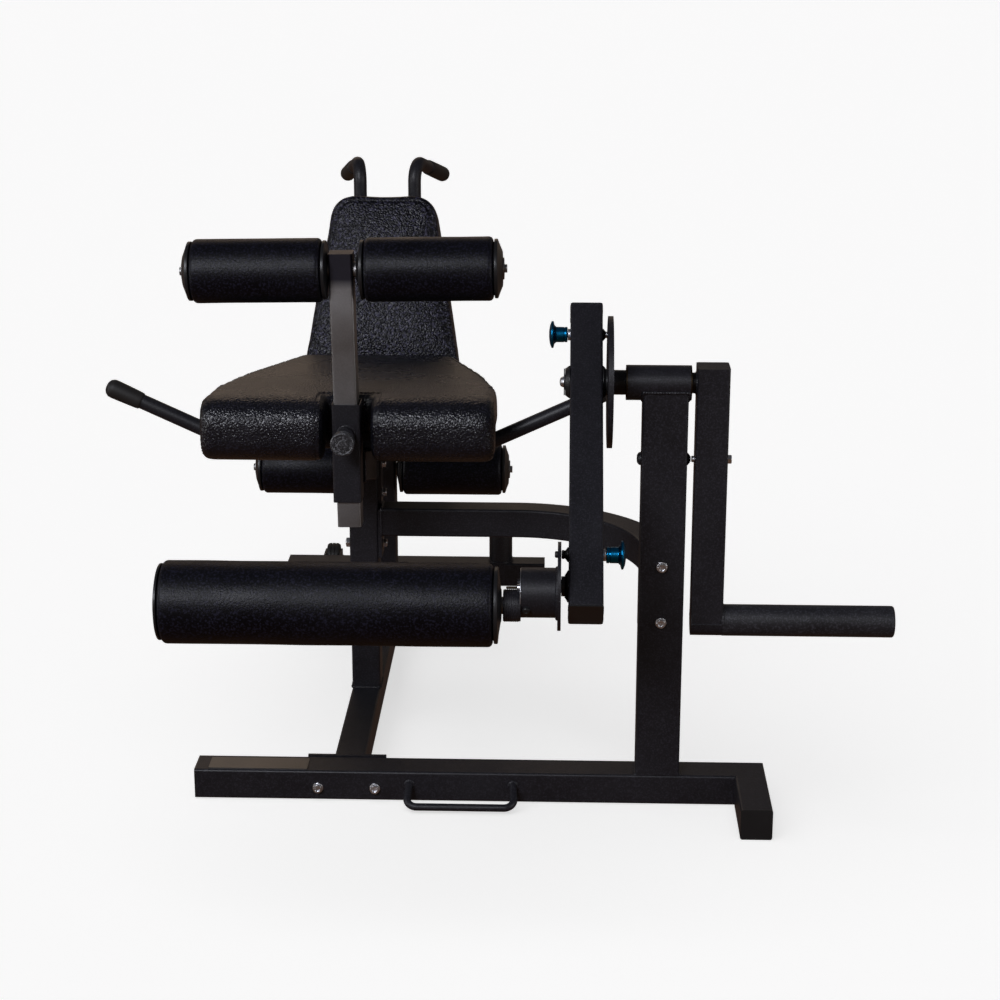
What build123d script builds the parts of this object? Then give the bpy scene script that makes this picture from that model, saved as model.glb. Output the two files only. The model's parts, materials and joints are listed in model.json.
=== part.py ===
"""Plate-loaded leg extension and seated leg curl machine, one STEP file per sub-part.

Axes: +Z up, +Y towards the back of the machine, +X towards the plate horn.
Origin: on the floor, under the middle of the seat and the middle of the front bar.
The sizes below count Y from the front bar's front face; save() moves each part to the origin.
"""
import os
from math import cos, radians, sin

from build123d import *

os.makedirs("parts", exist_ok=True)

# ---------------------------------------------------------------- driving dimensions (mm, degrees)
TUBE = 50.0
WALL = 3.0
CORNER = 4.0
CAP = 3.0
PLATE = 6.0
BOLT_R = 5.0
BOLT_HOLE_R = 5.5
RUN = 0.05
GAP = 0.3

BAR_LEFT, BAR_RIGHT, BAR_DEPTH = -246.0, 674.5, 60.0
FOOT_FRONT = -126.0
STAB_LEFT, STAB_RIGHT, STAB_Y = -229.0, 308.0, 1095.0
POST_Y, POST_TOP = 391.0, 500.0
REAR_POST_Y, REAR_POST_TOP = 770.0, 505.0
UPRIGHT_X, UPRIGHT_Y, UPRIGHT_W = 500.0, 25.0, 70.0

PIVOT_Y, PIVOT_Z = 25.0, 691.0
SHAFT_R = 16.0
ARM_LEFT, ARM_RIGHT = 353.9, 403.9
ARM_LEAN = 50.5
ARM_ABOVE, ARM_BELOW = 136.0, 415.0
UPPER_PIN_D, LOWER_PIN_D = -92.0, 313.0
CARRIAGE_D, HUB_D, ROLLER_D = 367.0, 378.0, 400.0
WEIGHT_X = 572.3
HORN_DROP, HORN_R, HORN_END = 383.5, 25.0, 867.0
STOP_Z = 570.5

SEAT_FRONT, SEAT_TOP, SEAT_SLOPE = 100.0, 637.0, 5.6
SEAT_HALF, SEAT_MIDDLE_HALF, SEAT_REAR_HALF, SEAT_REAR = 234.0, 206.0, 142.0, 690.0
PAD_T, BOARD_T, NOSE_R = 62.0, 15.0, 50.5
SLOT_HALF, SLOT_BACK = 37.0, 182.0
GRIP_BAR_Y, GRIP_BAR_Z, GRIP_BAR_R = 300.0, 520.0, 12.5

BACK_Y, BACK_Z, BACK_LEAN = 774.0, 564.0, 20.0
BACK_BOTTOM, BACK_TOP = -40.0, 301.0
BACK_HALF, BACK_TAPER, BACK_T = 142.5, 0.158, 55.0
HANDLE_X, HANDLE_Y, HANDLE_Z = 52.5, 962.0, 901.0

SLEEVE, SLEEVE_WALL, SLEEVE_Y = 45.0, 1.5, 127.5
SLEEVE_LOW, SLEEVE_HIGH = 470.0, 631.0
HOLD_POST, HOLD_WALL, HOLD_TILT = 38.0, 2.5, 0.9
HOLD_PIVOT_X, HOLD_PIVOT_Z = 0.5, 550.0
HOLD_LOW, HOLD_HIGH, HOLD_AXLE_Z, HOLD_PIN_Z = 428.0, 871.0, 843.0, 583.0
AXLE_R = 12.5
THIGH_R, SHIN_R, REAR_R = 50.5, 60.5, 50.0
REAR_AXLE_Z = 340.0
PEG_X, PEG_R, PEG_TOP = 216.0, 24.0, 168.0
WHEEL_R, WHEEL_Y, WHEEL_Z = 30.0, 1152.0, 34.0


# ---------------------------------------------------------------- planes, profiles and fasteners
def along_x(x, y, z):
    """Plane that extrudes towards +X, with local x = Y and local y = Z."""
    return Plane(origin=(x, y, z), x_dir=(0, 1, 0), z_dir=(1, 0, 0))


def along_y(x, y, z):
    """Plane that extrudes towards +Y, with local x = -X and local y = Z."""
    return Plane(origin=(x, y, z), x_dir=(-1, 0, 0), z_dir=(0, 1, 0))


def reversed_plane(plane):
    return Plane(origin=plane.origin, x_dir=plane.x_dir, z_dir=plane.z_dir * -1)


def on_arm(x, d):
    """Plane across the machine at distance d down the leaning roller arm."""
    lean = radians(ARM_LEAN)
    return along_x(x, PIVOT_Y - d * sin(lean), PIVOT_Z - d * cos(lean))


def save(builder, name):
    """Writes one sub-part, moved so that the origin lies under the middle of the front bar."""
    placed = builder.part.moved(Location((0, -BAR_DEPTH / 2, 0)))
    placed.label = name
    export_step(placed, f"parts/{name}.step")


def box_section(width=TUBE, height=TUBE, wall=WALL):
    RectangleRounded(width, height, CORNER)
    RectangleRounded(width - 2 * wall, height - 2 * wall, CORNER - wall, mode=Mode.SUBTRACT)


def disc(plane, radius, length, bore=0.0, mode=Mode.ADD):
    """Adds (or cuts) a cylinder, or a ring when it has a bore, to the part being built."""
    with BuildSketch(plane) as ring:
        Circle(radius)
        if bore:
            Circle(bore, mode=Mode.SUBTRACT)
    extrude(ring.sketch, amount=length, mode=mode)


def cone(plane, radius_0, radius_1, length, bore):
    """Adds a hollow cone frustum with a straight bore."""
    with BuildSketch(plane) as first:
        Circle(radius_0)
    with BuildSketch(plane.offset(length)) as second:
        Circle(radius_1)
    loft([first.sketch, second.sketch])
    disc(plane, bore, length, mode=Mode.SUBTRACT)


def hexagon(plane, across_flats, length):
    with BuildSketch(plane) as head:
        RegularPolygon(across_flats / 2, 6, major_radius=False)
    extrude(head.sketch, amount=length)


def hex_bolt(plane, grip, tail):
    """Bolt whose washer sits on the plane; grip is the clamped length, tail the thread past the nut."""
    washer, head, nut = 1.5, 6.0, 8.0
    disc(plane.offset(-washer), 10.0, washer)
    hexagon(plane.offset(-washer - head), 16.0, head)
    disc(plane, BOLT_R, grip + nut + tail)
    hexagon(plane.offset(grip), 16.0, nut)


def tube_x(x0, x1, y, z, width=TUBE, height=TUBE):
    with BuildSketch(along_x(x0, y, z)) as section:
        box_section(width, height)
    extrude(section.sketch, amount=x1 - x0)


# ---------------------------------------------------------------- base frame
MITRE = Plane(
    origin=(BAR_RIGHT - TUBE, 0, 0), x_dir=(TUBE, BAR_DEPTH, 0), z_dir=(BAR_DEPTH, -TUBE, 0)
)
FLANGE_BOLT_X, FLANGE_BOLT_Z = 46.0, 21.0

with BuildPart() as front_crossbar:
    tube_x(BAR_LEFT + CAP, BAR_RIGHT, BAR_DEPTH / 2, TUBE / 2, BAR_DEPTH)
    split(bisect_by=MITRE, keep=Keep.BOTTOM)
    with BuildSketch(along_y(0, 0, FLANGE_BOLT_Z)):
        with Locations((-FLANGE_BOLT_X, 0), (FLANGE_BOLT_X, 0)):
            Circle(BOLT_HOLE_R)
    extrude(amount=BAR_DEPTH, mode=Mode.SUBTRACT)
save(front_crossbar, "front_crossbar")

with BuildPart() as front_foot:
    with BuildSketch(along_y(BAR_RIGHT - TUBE / 2, FOOT_FRONT + CAP, TUBE / 2)):
        box_section()
    extrude(amount=BAR_DEPTH - FOOT_FRONT - CAP)
    split(bisect_by=MITRE, keep=Keep.TOP)
save(front_foot, "front_foot")

with BuildPart() as spine_beam:
    with BuildSketch(along_y(0, BAR_DEPTH + PLATE, TUBE / 2)):
        box_section()
    extrude(amount=STAB_Y - TUBE / 2 - BAR_DEPTH - PLATE)
save(spine_beam, "spine_beam")

with BuildPart() as rear_stabilizer:
    tube_x(STAB_LEFT + CAP, STAB_RIGHT - CAP, STAB_Y, TUBE / 2)
save(rear_stabilizer, "rear_stabilizer")


def from_right(x, y, z):
    """Plane that extrudes towards -X."""
    return Plane(origin=(x, y, z), x_dir=(0, 1, 0), z_dir=(-1, 0, 0))


def end_cap(plane, width=TUBE, height=TUBE):
    """Plastic insert: a plate over the tube's end and a plug inside it, towards the plane's +Z."""
    plug = 10.0
    with BuildSketch(plane) as face:
        RectangleRounded(width, height, CORNER)
    extrude(face.sketch, amount=CAP)
    with BuildSketch(plane.offset(CAP)) as inside:
        RectangleRounded(width - 2 * WALL, height - 2 * WALL, CORNER - WALL)
    extrude(inside.sketch, amount=plug)


with BuildPart() as tube_end_caps:
    end_cap(along_x(BAR_LEFT, BAR_DEPTH / 2, TUBE / 2), BAR_DEPTH)
    end_cap(along_y(BAR_RIGHT - TUBE / 2, FOOT_FRONT, TUBE / 2))
    end_cap(along_x(STAB_LEFT, STAB_Y, TUBE / 2))
    end_cap(from_right(STAB_RIGHT, STAB_Y, TUBE / 2))
save(tube_end_caps, "tube_end_caps")

with BuildPart() as name_plate:
    plate_x, plate_y, plate_w, plate_d, plate_t = -143.5, 27.0, 160.0, 43.0, 1.5
    with BuildSketch(Plane(origin=(plate_x, plate_y, TUBE))):
        RectangleRounded(plate_w, plate_d, 2.0)
    extrude(amount=plate_t)
save(name_plate, "name_plate")

BRACE_Z, BRACE_BEND = 356.0, 235.0
BRACE_BOLTS_Z = (402.0, 310.0)
EAR_BOLTS_Z = (456.5, 404.0)
CLAMP_BOLT_Z = 312.0

with BuildPart() as flange_plates:
    spine_flange_x, spine_flange_w, spine_flange_h = -4.0, 128.0, 52.0
    with BuildSketch(along_y(0, BAR_DEPTH, spine_flange_h / 2)):
        with Locations((-spine_flange_x, 0)):
            Rectangle(spine_flange_w, spine_flange_h)
        with Locations(*[(x, FLANGE_BOLT_Z - spine_flange_h / 2) for x in (-FLANGE_BOLT_X, FLANGE_BOLT_X)]):
            Circle(BOLT_HOLE_R, mode=Mode.SUBTRACT)
    extrude(amount=PLATE)
    brace_flange_h = 130.0
    with BuildSketch(along_y(UPRIGHT_X, TUBE, BRACE_Z)):
        Rectangle(UPRIGHT_W, brace_flange_h)
        with Locations(*[(0, z - BRACE_Z) for z in BRACE_BOLTS_Z]):
            Circle(BOLT_HOLE_R, mode=Mode.SUBTRACT)
    extrude(amount=PLATE)
    side_plate_low, side_plate_high = 292.0, 379.0
    with BuildSketch(along_x(TUBE / 2, POST_Y, (side_plate_low + side_plate_high) / 2)):
        Rectangle(TUBE, side_plate_high - side_plate_low)
        with Locations((0, CLAMP_BOLT_Z - (side_plate_low + side_plate_high) / 2)):
            Circle(BOLT_HOLE_R, mode=Mode.SUBTRACT)
    extrude(amount=PLATE)
save(flange_plates, "flange_plates")

with BuildPart() as curved_brace:
    straight_end = UPRIGHT_X - BRACE_BEND
    arc_end = POST_Y - BRACE_BEND
    with BuildLine() as brace_path:
        Line((TUBE / 2 + PLATE, POST_Y, BRACE_Z), (straight_end, POST_Y, BRACE_Z))
        RadiusArc((straight_end, POST_Y, BRACE_Z), (UPRIGHT_X, arc_end, BRACE_Z), BRACE_BEND)
        Line((UPRIGHT_X, arc_end, BRACE_Z), (UPRIGHT_X, TUBE + PLATE, BRACE_Z))
    with BuildSketch(along_x(TUBE / 2 + PLATE, POST_Y, BRACE_Z)):
        box_section()
    sweep(path=brace_path.wires()[0])
save(curved_brace, "curved_brace")

with BuildPart() as seat_post:
    with BuildSketch(Plane(origin=(0, POST_Y, TUBE))):
        box_section()
    extrude(amount=POST_TOP - TUBE)
    for z in EAR_BOLTS_Z + (CLAMP_BOLT_Z,):
        disc(along_x(-TUBE / 2, POST_Y, z), BOLT_HOLE_R, TUBE, mode=Mode.SUBTRACT)
save(seat_post, "seat_post")

with BuildPart() as rear_post:
    with BuildSketch(Plane(origin=(0, REAR_POST_Y, TUBE))):
        box_section()
    extrude(amount=REAR_POST_TOP - TUBE)
    disc(along_x(-TUBE / 2, REAR_POST_Y, REAR_AXLE_Z), AXLE_R, TUBE, mode=Mode.SUBTRACT)
save(rear_post, "rear_post")

with BuildPart() as storage_peg:
    with BuildSketch(Plane(origin=(PEG_X, STAB_Y, TUBE))):
        Circle(PEG_R)
        Circle(PEG_R - WALL, mode=Mode.SUBTRACT)
    extrude(amount=PEG_TOP - TUBE - WALL)
    disc(Plane(origin=(PEG_X, STAB_Y, PEG_TOP - WALL)), PEG_R, WALL)
save(storage_peg, "storage_peg")

with BuildPart() as front_carry_handle:
    rod_r, bend = 6.0, 16.0
    with BuildLine() as handle_path:
        FilletPolyline(
            (102, 0, 31), (99, -42, 9), (272, -42, 9), (269, 0, 31), radius=bend
        )
    with BuildSketch(Plane(origin=handle_path.wires()[0] @ 0, z_dir=handle_path.wires()[0] % 0)):
        Circle(rod_r)
    sweep(path=handle_path.wires()[0])
    split(bisect_by=Plane.XZ, keep=Keep.TOP)
save(front_carry_handle, "front_carry_handle")

WHEEL_REACH = 180.0
WHEEL_XS = tuple((STAB_LEFT + STAB_RIGHT) / 2 + side * WHEEL_REACH for side in (-1, 1))
WHEEL_W, WHEEL_AXLE_R = 26.0, 5.0

with BuildPart() as wheel_brackets:
    cheek_t, cheek_low, cheek_high = 4.0, 18.0, 50.0
    for wheel_x in WHEEL_XS:
        for side in (-1, 1):
            cheek_x = wheel_x + side * (WHEEL_W / 2 + 1 + cheek_t / 2) - cheek_t / 2
            with BuildSketch(along_x(cheek_x, STAB_Y + TUBE / 2, (cheek_low + cheek_high) / 2)):
                with Locations(((WHEEL_Y + 10 - STAB_Y - TUBE / 2) / 2, 0)):
                    Rectangle(WHEEL_Y + 10 - STAB_Y - TUBE / 2, cheek_high - cheek_low)
            extrude(amount=cheek_t)
        half = WHEEL_W / 2 + 1 + cheek_t + 3
        disc(along_x(wheel_x - half, WHEEL_Y, WHEEL_Z), WHEEL_AXLE_R, 2 * half)
save(wheel_brackets, "wheel_brackets")

with BuildPart() as transport_wheels:
    for wheel_x in WHEEL_XS:
        disc(along_x(wheel_x - WHEEL_W / 2, WHEEL_Y, WHEEL_Z), WHEEL_R, WHEEL_W, WHEEL_AXLE_R + RUN)
save(transport_wheels, "transport_wheels")

# ---------------------------------------------------------------- upright and pivot housing
HOUSING_R, HOUSING_BORE, HOUSING_LEFT, HOUSING_RIGHT, BUSH_FLANGE = 27.0, 23.0, 441.5, 537.5, 2.0

with BuildPart() as upright_post:
    with BuildSketch(Plane(origin=(UPRIGHT_X, UPRIGHT_Y, TUBE))):
        box_section(UPRIGHT_W, TUBE)
    extrude(amount=PIVOT_Z - TUBE)
    disc(along_x(HOUSING_LEFT, PIVOT_Y, PIVOT_Z), HOUSING_R, 100.0, mode=Mode.SUBTRACT)
    for z in BRACE_BOLTS_Z:
        disc(along_y(UPRIGHT_X, 0, z), BOLT_HOLE_R, TUBE, mode=Mode.SUBTRACT)
    disc(along_x(UPRIGHT_X - UPRIGHT_W / 2, UPRIGHT_Y, STOP_Z), BOLT_HOLE_R, UPRIGHT_W, mode=Mode.SUBTRACT)
save(upright_post, "upright_post")

with BuildPart() as pivot_housing:
    disc(along_x(HOUSING_LEFT, PIVOT_Y, PIVOT_Z), HOUSING_R, HOUSING_RIGHT - HOUSING_LEFT, HOUSING_BORE)
save(pivot_housing, "pivot_housing")

with BuildPart() as pivot_bushes:
    barrel = 28.0
    disc(along_x(HOUSING_LEFT, PIVOT_Y, PIVOT_Z), HOUSING_BORE, barrel, SHAFT_R + RUN)
    disc(along_x(HOUSING_LEFT - BUSH_FLANGE, PIVOT_Y, PIVOT_Z), HOUSING_R, BUSH_FLANGE, SHAFT_R + RUN)
    disc(along_x(HOUSING_RIGHT - barrel, PIVOT_Y, PIVOT_Z), HOUSING_BORE, barrel, SHAFT_R + RUN)
    disc(along_x(HOUSING_RIGHT, PIVOT_Y, PIVOT_Z), HOUSING_R, BUSH_FLANGE, SHAFT_R + RUN)
save(pivot_bushes, "pivot_bushes")

with BuildPart() as frame_bolts:
    for x in (-FLANGE_BOLT_X, FLANGE_BOLT_X):
        hex_bolt(along_y(x, 0, FLANGE_BOLT_Z), BAR_DEPTH + PLATE, 3.0)
    for z in BRACE_BOLTS_Z:
        hex_bolt(along_y(UPRIGHT_X, 0, z), TUBE + PLATE, 3.0)
save(frame_bolts, "frame_bolts")

STOP_TIP = 6.2

with BuildPart() as side_bolts:
    for z in EAR_BOLTS_Z:
        hex_bolt(from_right(TUBE / 2 + PLATE, POST_Y, z), TUBE + 2 * PLATE, 1.0)
    hex_bolt(from_right(TUBE / 2 + PLATE, POST_Y, CLAMP_BOLT_Z), TUBE + PLATE, 1.0)
    upright_left = UPRIGHT_X - UPRIGHT_W / 2
    disc(along_x(upright_left, UPRIGHT_Y, STOP_Z), BOLT_R, UPRIGHT_W + STOP_TIP)
    dome_r, dome_h = 8.0, 7.0
    disc(along_x(upright_left - dome_h, UPRIGHT_Y, STOP_Z), dome_r, dome_h)
    fillet(side_bolts.edges().filter_by(GeomType.CIRCLE).group_by(Axis.X)[-1], 1.0)
save(side_bolts, "side_bolts")

# ---------------------------------------------------------------- seat
SLOPE = radians(SEAT_SLOPE)


def on_seat(distance, height):
    """Plane across the seat, with local x towards the back along the slope and local y up off it."""
    return Plane(
        origin=(0, SEAT_FRONT + distance * cos(SLOPE) + height * sin(SLOPE),
                SEAT_TOP - distance * sin(SLOPE) + height * cos(SLOPE)),
        x_dir=(0, cos(SLOPE), -sin(SLOPE)), z_dir=(1, 0, 0))


def seat_outline(inset):
    """Tapered seat seen from above, drawn on an XY plane, smaller all round by inset."""
    front, shoulder, middle, rear = SEAT_FRONT + inset, 270.0, 440.0, SEAT_REAR - inset
    wide, mid, narrow = SEAT_HALF - inset, SEAT_MIDDLE_HALF - inset, SEAT_REAR_HALF - inset
    with BuildLine() as outline:
        Polyline((-wide, front), (-wide, shoulder), (-mid, middle), (-narrow, rear),
                 (narrow, rear), (mid, middle), (wide, shoulder), (wide, front), close=True)
    make_face(outline.edges())


with BuildPart() as seat_pad:
    nose_bottom = 45.0
    with BuildSketch(on_seat(0, 0)):
        with BuildLine():
            Line((NOSE_R, 0), (600, 0))
            Line((600, 0), (600, -PAD_T))
            Line((600, -PAD_T), (NOSE_R + nose_bottom, -PAD_T))
            Line((NOSE_R + nose_bottom, -PAD_T), (NOSE_R, -2 * NOSE_R))
            ThreePointArc((NOSE_R, -2 * NOSE_R), (0, -NOSE_R), (NOSE_R, 0))
        make_face()
    extrude(amount=SEAT_HALF, both=True)
    with BuildSketch(Plane.XY.offset(SEAT_TOP - 200)):
        seat_outline(0)
        with Locations((0, SEAT_FRONT)):
            Rectangle(2 * SLOT_HALF, 2 * (SLOT_BACK - SEAT_FRONT), mode=Mode.SUBTRACT)
        fillet(vertices().group_by(Axis.Y)[-1], 40.0)
        fillet(vertices().filter_by(lambda corner: corner.Y < SEAT_REAR - 100), 14.0)
    extrude(amount=250, mode=Mode.INTERSECT)
save(seat_pad, "seat_pad")

with BuildPart() as seat_board:
    with BuildSketch(on_seat(0, 0)):
        with BuildLine():
            Polyline((NOSE_R + nose_bottom, -PAD_T), (600, -PAD_T), (600, -PAD_T - BOARD_T),
                     (NOSE_R + nose_bottom, -PAD_T - BOARD_T), close=True)
        make_face()
    extrude(amount=SEAT_HALF, both=True)
    with BuildSketch(Plane.XY.offset(SEAT_TOP - 200)):
        seat_outline(10)
        with Locations((0, SEAT_FRONT)):
            Rectangle(2 * SLOT_HALF, 2 * (SLOT_BACK + 8 - SEAT_FRONT), mode=Mode.SUBTRACT)
    extrude(amount=250, mode=Mode.INTERSECT)
save(seat_board, "seat_board")

with BuildPart() as side_grip_bar:
    knee_x, tip_x, tip_z = 220.0, 417.0, 610.5
    with BuildLine() as grip_path:
        FilletPolyline(
            (-tip_x, GRIP_BAR_Y, tip_z), (-knee_x, GRIP_BAR_Y, GRIP_BAR_Z),
            (knee_x, GRIP_BAR_Y, GRIP_BAR_Z), (tip_x, GRIP_BAR_Y, tip_z), radius=60
        )
    with BuildSketch(Plane(origin=grip_path.wires()[0] @ 0, z_dir=grip_path.wires()[0] % 0)):
        Circle(GRIP_BAR_R)
    sweep(path=grip_path.wires()[0])
save(side_grip_bar, "side_grip_bar")

with BuildPart() as seat_frame:
    beam_low, beam_start = PAD_T + BOARD_T + 28.0, 192.0
    with BuildSketch(on_seat(0, 0)):
        with BuildLine():
            Polyline((beam_start, -PAD_T - BOARD_T), (660, -PAD_T - BOARD_T), (660, -beam_low),
                     (beam_start, -beam_low), close=True)
        make_face()
    extrude(amount=TUBE / 2 + PLATE, both=True)
    split(bisect_by=Plane(origin=(0, REAR_POST_Y - TUBE / 2, 0), z_dir=(0, 1, 0)), keep=Keep.BOTTOM)
    ear_w, ear_low = 40.0, 380.0
    for x in (-TUBE / 2 - PLATE, TUBE / 2):
        with BuildSketch(along_x(x, POST_Y, 0)):
            with Locations((0, (ear_low + ear_w / 2 + POST_TOP + 10) / 2)):
                Rectangle(ear_w, POST_TOP + 10 - ear_low - ear_w / 2)
            with Locations((0, ear_low + ear_w / 2)):
                Circle(ear_w / 2)
            with Locations(*[(0, z) for z in EAR_BOLTS_Z]):
                Circle(BOLT_HOLE_R, mode=Mode.SUBTRACT)
        extrude(amount=PLATE)
    disc(along_x(-TUBE, GRIP_BAR_Y, GRIP_BAR_Z), GRIP_BAR_R, 2 * TUBE, mode=Mode.SUBTRACT)
save(seat_frame, "seat_frame")

# ---------------------------------------------------------------- backrest and its handles
LEAN = radians(BACK_LEAN)


def on_back(along, behind):
    """Plane parallel to the backrest: local x = X, local y up it, extruding towards the sitter."""
    return Plane(
        origin=(0, BACK_Y + along * sin(LEAN) + behind * cos(LEAN),
                BACK_Z + along * cos(LEAN) - behind * sin(LEAN)),
        x_dir=(1, 0, 0), z_dir=(0, -cos(LEAN), sin(LEAN)))


def back_outline(inset):
    low, high = BACK_BOTTOM + inset, BACK_TOP - inset
    wide, narrow = (BACK_HALF - BACK_TAPER * v - inset for v in (low, high))
    with BuildLine() as outline:
        Polyline((-wide, low), (wide, low), (narrow, high), (-narrow, high), close=True)
    make_face(outline.edges())
    fillet(vertices().group_by(Axis.Y)[-1], 44.0 - inset)
    fillet(vertices().group_by(Axis.Y)[0], 20.0)


with BuildPart() as backrest_pad:
    with BuildSketch(on_back(0, BACK_T)):
        back_outline(0)
    extrude(amount=BACK_T)
save(backrest_pad, "backrest_pad")

with BuildPart() as backrest_board:
    with BuildSketch(on_back(0, BACK_T + BOARD_T)):
        back_outline(8)
    extrude(amount=BOARD_T)
save(backrest_board, "backrest_board")

with BuildPart() as backrest_frame:
    behind, stem, stem_low, stem_high = BACK_T + BOARD_T, 40.0, -62.0, 245.0
    with BuildSketch(on_back((stem_low + stem_high) / 2, behind + stem)):
        Rectangle(stem, stem_high - stem_low)
    extrude(amount=stem)
    with BuildSketch(on_back(stem_high - 15, behind + stem)):
        Rectangle(150, 30)
    extrude(amount=stem)
    link_z, link_h, link_end = 485.0, 40.0, 850.0
    with BuildSketch(along_y(0, REAR_POST_Y + TUBE / 2, link_z)):
        Rectangle(stem, link_h)
    extrude(amount=link_end - REAR_POST_Y - TUBE / 2)
    for x in (-HANDLE_X, HANDLE_X):
        disc(Plane(origin=(x, HANDLE_Y, 600)), AXLE_R, 200, mode=Mode.SUBTRACT)
save(backrest_frame, "backrest_frame")

HANDLE_FOOT_Z, HANDLE_TIP = 735.0, (97.0, 1160.0, 847.0)
HANDLE_R, HANDLE_BEND, GRIP_LENGTH = 12.5, 32.0, 115.0


def handle_line(side):
    FilletPolyline(
        (side * HANDLE_X, HANDLE_Y, HANDLE_FOOT_Z), (side * HANDLE_X, HANDLE_Y, HANDLE_Z),
        (side * HANDLE_TIP[0], HANDLE_TIP[1], HANDLE_TIP[2]), radius=HANDLE_BEND
    )


with BuildPart() as top_handles:
    for side in (-1, 1):
        with BuildLine() as handle_path:
            handle_line(side)
        with BuildSketch(Plane(origin=handle_path.wires()[0] @ 0, z_dir=handle_path.wires()[0] % 0)):
            Circle(HANDLE_R)
        sweep(path=handle_path.wires()[0])
save(top_handles, "top_handles")


def grip(tip, root, length, bar_r, rubber, end):
    """Closed rubber sleeve over the last stretch of a round bar that ends at tip."""
    tip, root = Vector(*tip), Vector(*root)
    towards = (root - tip).normalized()
    plane = Plane(origin=tip - towards * end, z_dir=towards)
    disc(plane, bar_r + rubber, length + end)
    disc(plane.offset(end), bar_r, length, mode=Mode.SUBTRACT)


with BuildPart() as rubber_grips:
    for side in (-1, 1):
        grip((side * tip_x, GRIP_BAR_Y, tip_z), (side * knee_x, GRIP_BAR_Y, GRIP_BAR_Z),
             60.0, GRIP_BAR_R, 3.5, 4.0)
        grip((side * HANDLE_TIP[0], HANDLE_TIP[1], HANDLE_TIP[2]), (side * HANDLE_X, HANDLE_Y, HANDLE_Z),
             GRIP_LENGTH, HANDLE_R, 2.5, 4.0)
save(rubber_grips, "rubber_grips")

# ---------------------------------------------------------------- hold-down sleeve and its bracket
with BuildPart() as hold_down_sleeve:
    with BuildSketch(Plane(origin=(0, SLEEVE_Y, SLEEVE_LOW))):
        RectangleRounded(SLEEVE, SLEEVE, CORNER)
        RectangleRounded(SLEEVE - 2 * SLEEVE_WALL, SLEEVE - 2 * SLEEVE_WALL, 2.0, mode=Mode.SUBTRACT)
    extrude(amount=SLEEVE_HIGH - SLEEVE_LOW)
    disc(along_y(0, SLEEVE_Y - SLEEVE / 2, HOLD_PIN_Z), BOLT_R + 1, SLEEVE_WALL, mode=Mode.SUBTRACT)
save(hold_down_sleeve, "hold_down_sleeve")

with BuildPart() as hold_down_bracket:
    start_y, start_z, end_y, end_z = SLEEVE_Y + SLEEVE / 2, 520.0, POST_Y - TUBE / 2, 459.0
    run, drop = end_y - start_y, start_z - end_z
    extra = 20.0
    with BuildSketch(Plane(origin=(0, start_y - extra, start_z + extra * drop / run),
                           x_dir=(-1, 0, 0), z_dir=(0, run, -drop))):
        box_section()
    extrude(amount=run + 3 * extra)
    split(bisect_by=Plane(origin=(0, start_y, 0), z_dir=(0, 1, 0)), keep=Keep.TOP)
    split(bisect_by=Plane(origin=(0, end_y, 0), z_dir=(0, 1, 0)), keep=Keep.BOTTOM)
save(hold_down_bracket, "hold_down_bracket")

with BuildPart() as hold_down_pin_housing:
    housing_front, sleeve_front = 72.0, SLEEVE_Y - SLEEVE / 2
    collar_r, collar_t = 14.0, 16.0
    disc(along_y(0, housing_front, HOLD_PIN_Z), 10.0, sleeve_front - housing_front, BOLT_R + RUN)
    disc(along_y(0, sleeve_front - collar_t, HOLD_PIN_Z), collar_r, collar_t, BOLT_R + RUN)
save(hold_down_pin_housing, "hold_down_pin_housing")

with BuildPart() as hold_down_pull_pin:
    pin_front, pin_tip = 50.0, SLEEVE_Y - HOLD_POST / 2 - 2 * GAP
    disc(along_y(0, pin_front, HOLD_PIN_Z), BOLT_R, pin_tip - pin_front)
save(hold_down_pull_pin, "hold_down_pull_pin")

with BuildPart() as hold_down_pin_knob:
    knob_front, knob_back, knob_r = 42.0, 60.0, 19.0
    disc(along_y(0, knob_front, HOLD_PIN_Z), knob_r, knob_back - knob_front)
    fillet(hold_down_pin_knob.edges().filter_by(GeomType.CIRCLE), 2.0)
    disc(along_y(0, pin_front, HOLD_PIN_Z), BOLT_R, knob_back - pin_front, mode=Mode.SUBTRACT)
save(hold_down_pin_knob, "hold_down_pin_knob")

# ---------------------------------------------------------------- hold-down post and thigh rollers
TILT = radians(HOLD_TILT)


def on_post(z):
    """Plane across the post at height z: the post rests tilted in its sleeve by its play."""
    height = z - HOLD_PIVOT_Z
    return Plane(origin=(HOLD_PIVOT_X - height * sin(TILT), SLEEVE_Y, HOLD_PIVOT_Z + height * cos(TILT)),
                 x_dir=(cos(TILT), 0, sin(TILT)), z_dir=(-sin(TILT), 0, cos(TILT)))


def along_axle(x):
    """Plane that extrudes along the thigh rollers' axle, x from the post's middle."""
    base = on_post(HOLD_AXLE_Z)
    return Plane(origin=base.origin + base.x_dir * x, x_dir=(0, 1, 0), z_dir=base.x_dir)


with BuildPart() as hold_down_post:
    with BuildSketch(on_post(HOLD_LOW)):
        box_section(HOLD_POST, HOLD_POST, HOLD_WALL)
    extrude(amount=HOLD_HIGH - HOLD_LOW)
    with BuildSketch(on_post(HOLD_HIGH - WALL)):
        Rectangle(HOLD_POST - HOLD_WALL, HOLD_POST - HOLD_WALL)
    extrude(amount=WALL)
    disc(along_axle(-HOLD_POST), AXLE_R, 2 * HOLD_POST, mode=Mode.SUBTRACT)
    pin_pitch = 25.0
    for step in range(-1, 5):
        base = on_post(HOLD_PIN_Z - step * pin_pitch)
        front = Plane(origin=base.origin - Vector(0, HOLD_POST / 2, 0), x_dir=(-1, 0, 0), z_dir=(0, 1, 0))
        disc(front, BOLT_R + 0.6, HOLD_WALL, mode=Mode.SUBTRACT)
save(hold_down_post, "hold_down_post")


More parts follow.
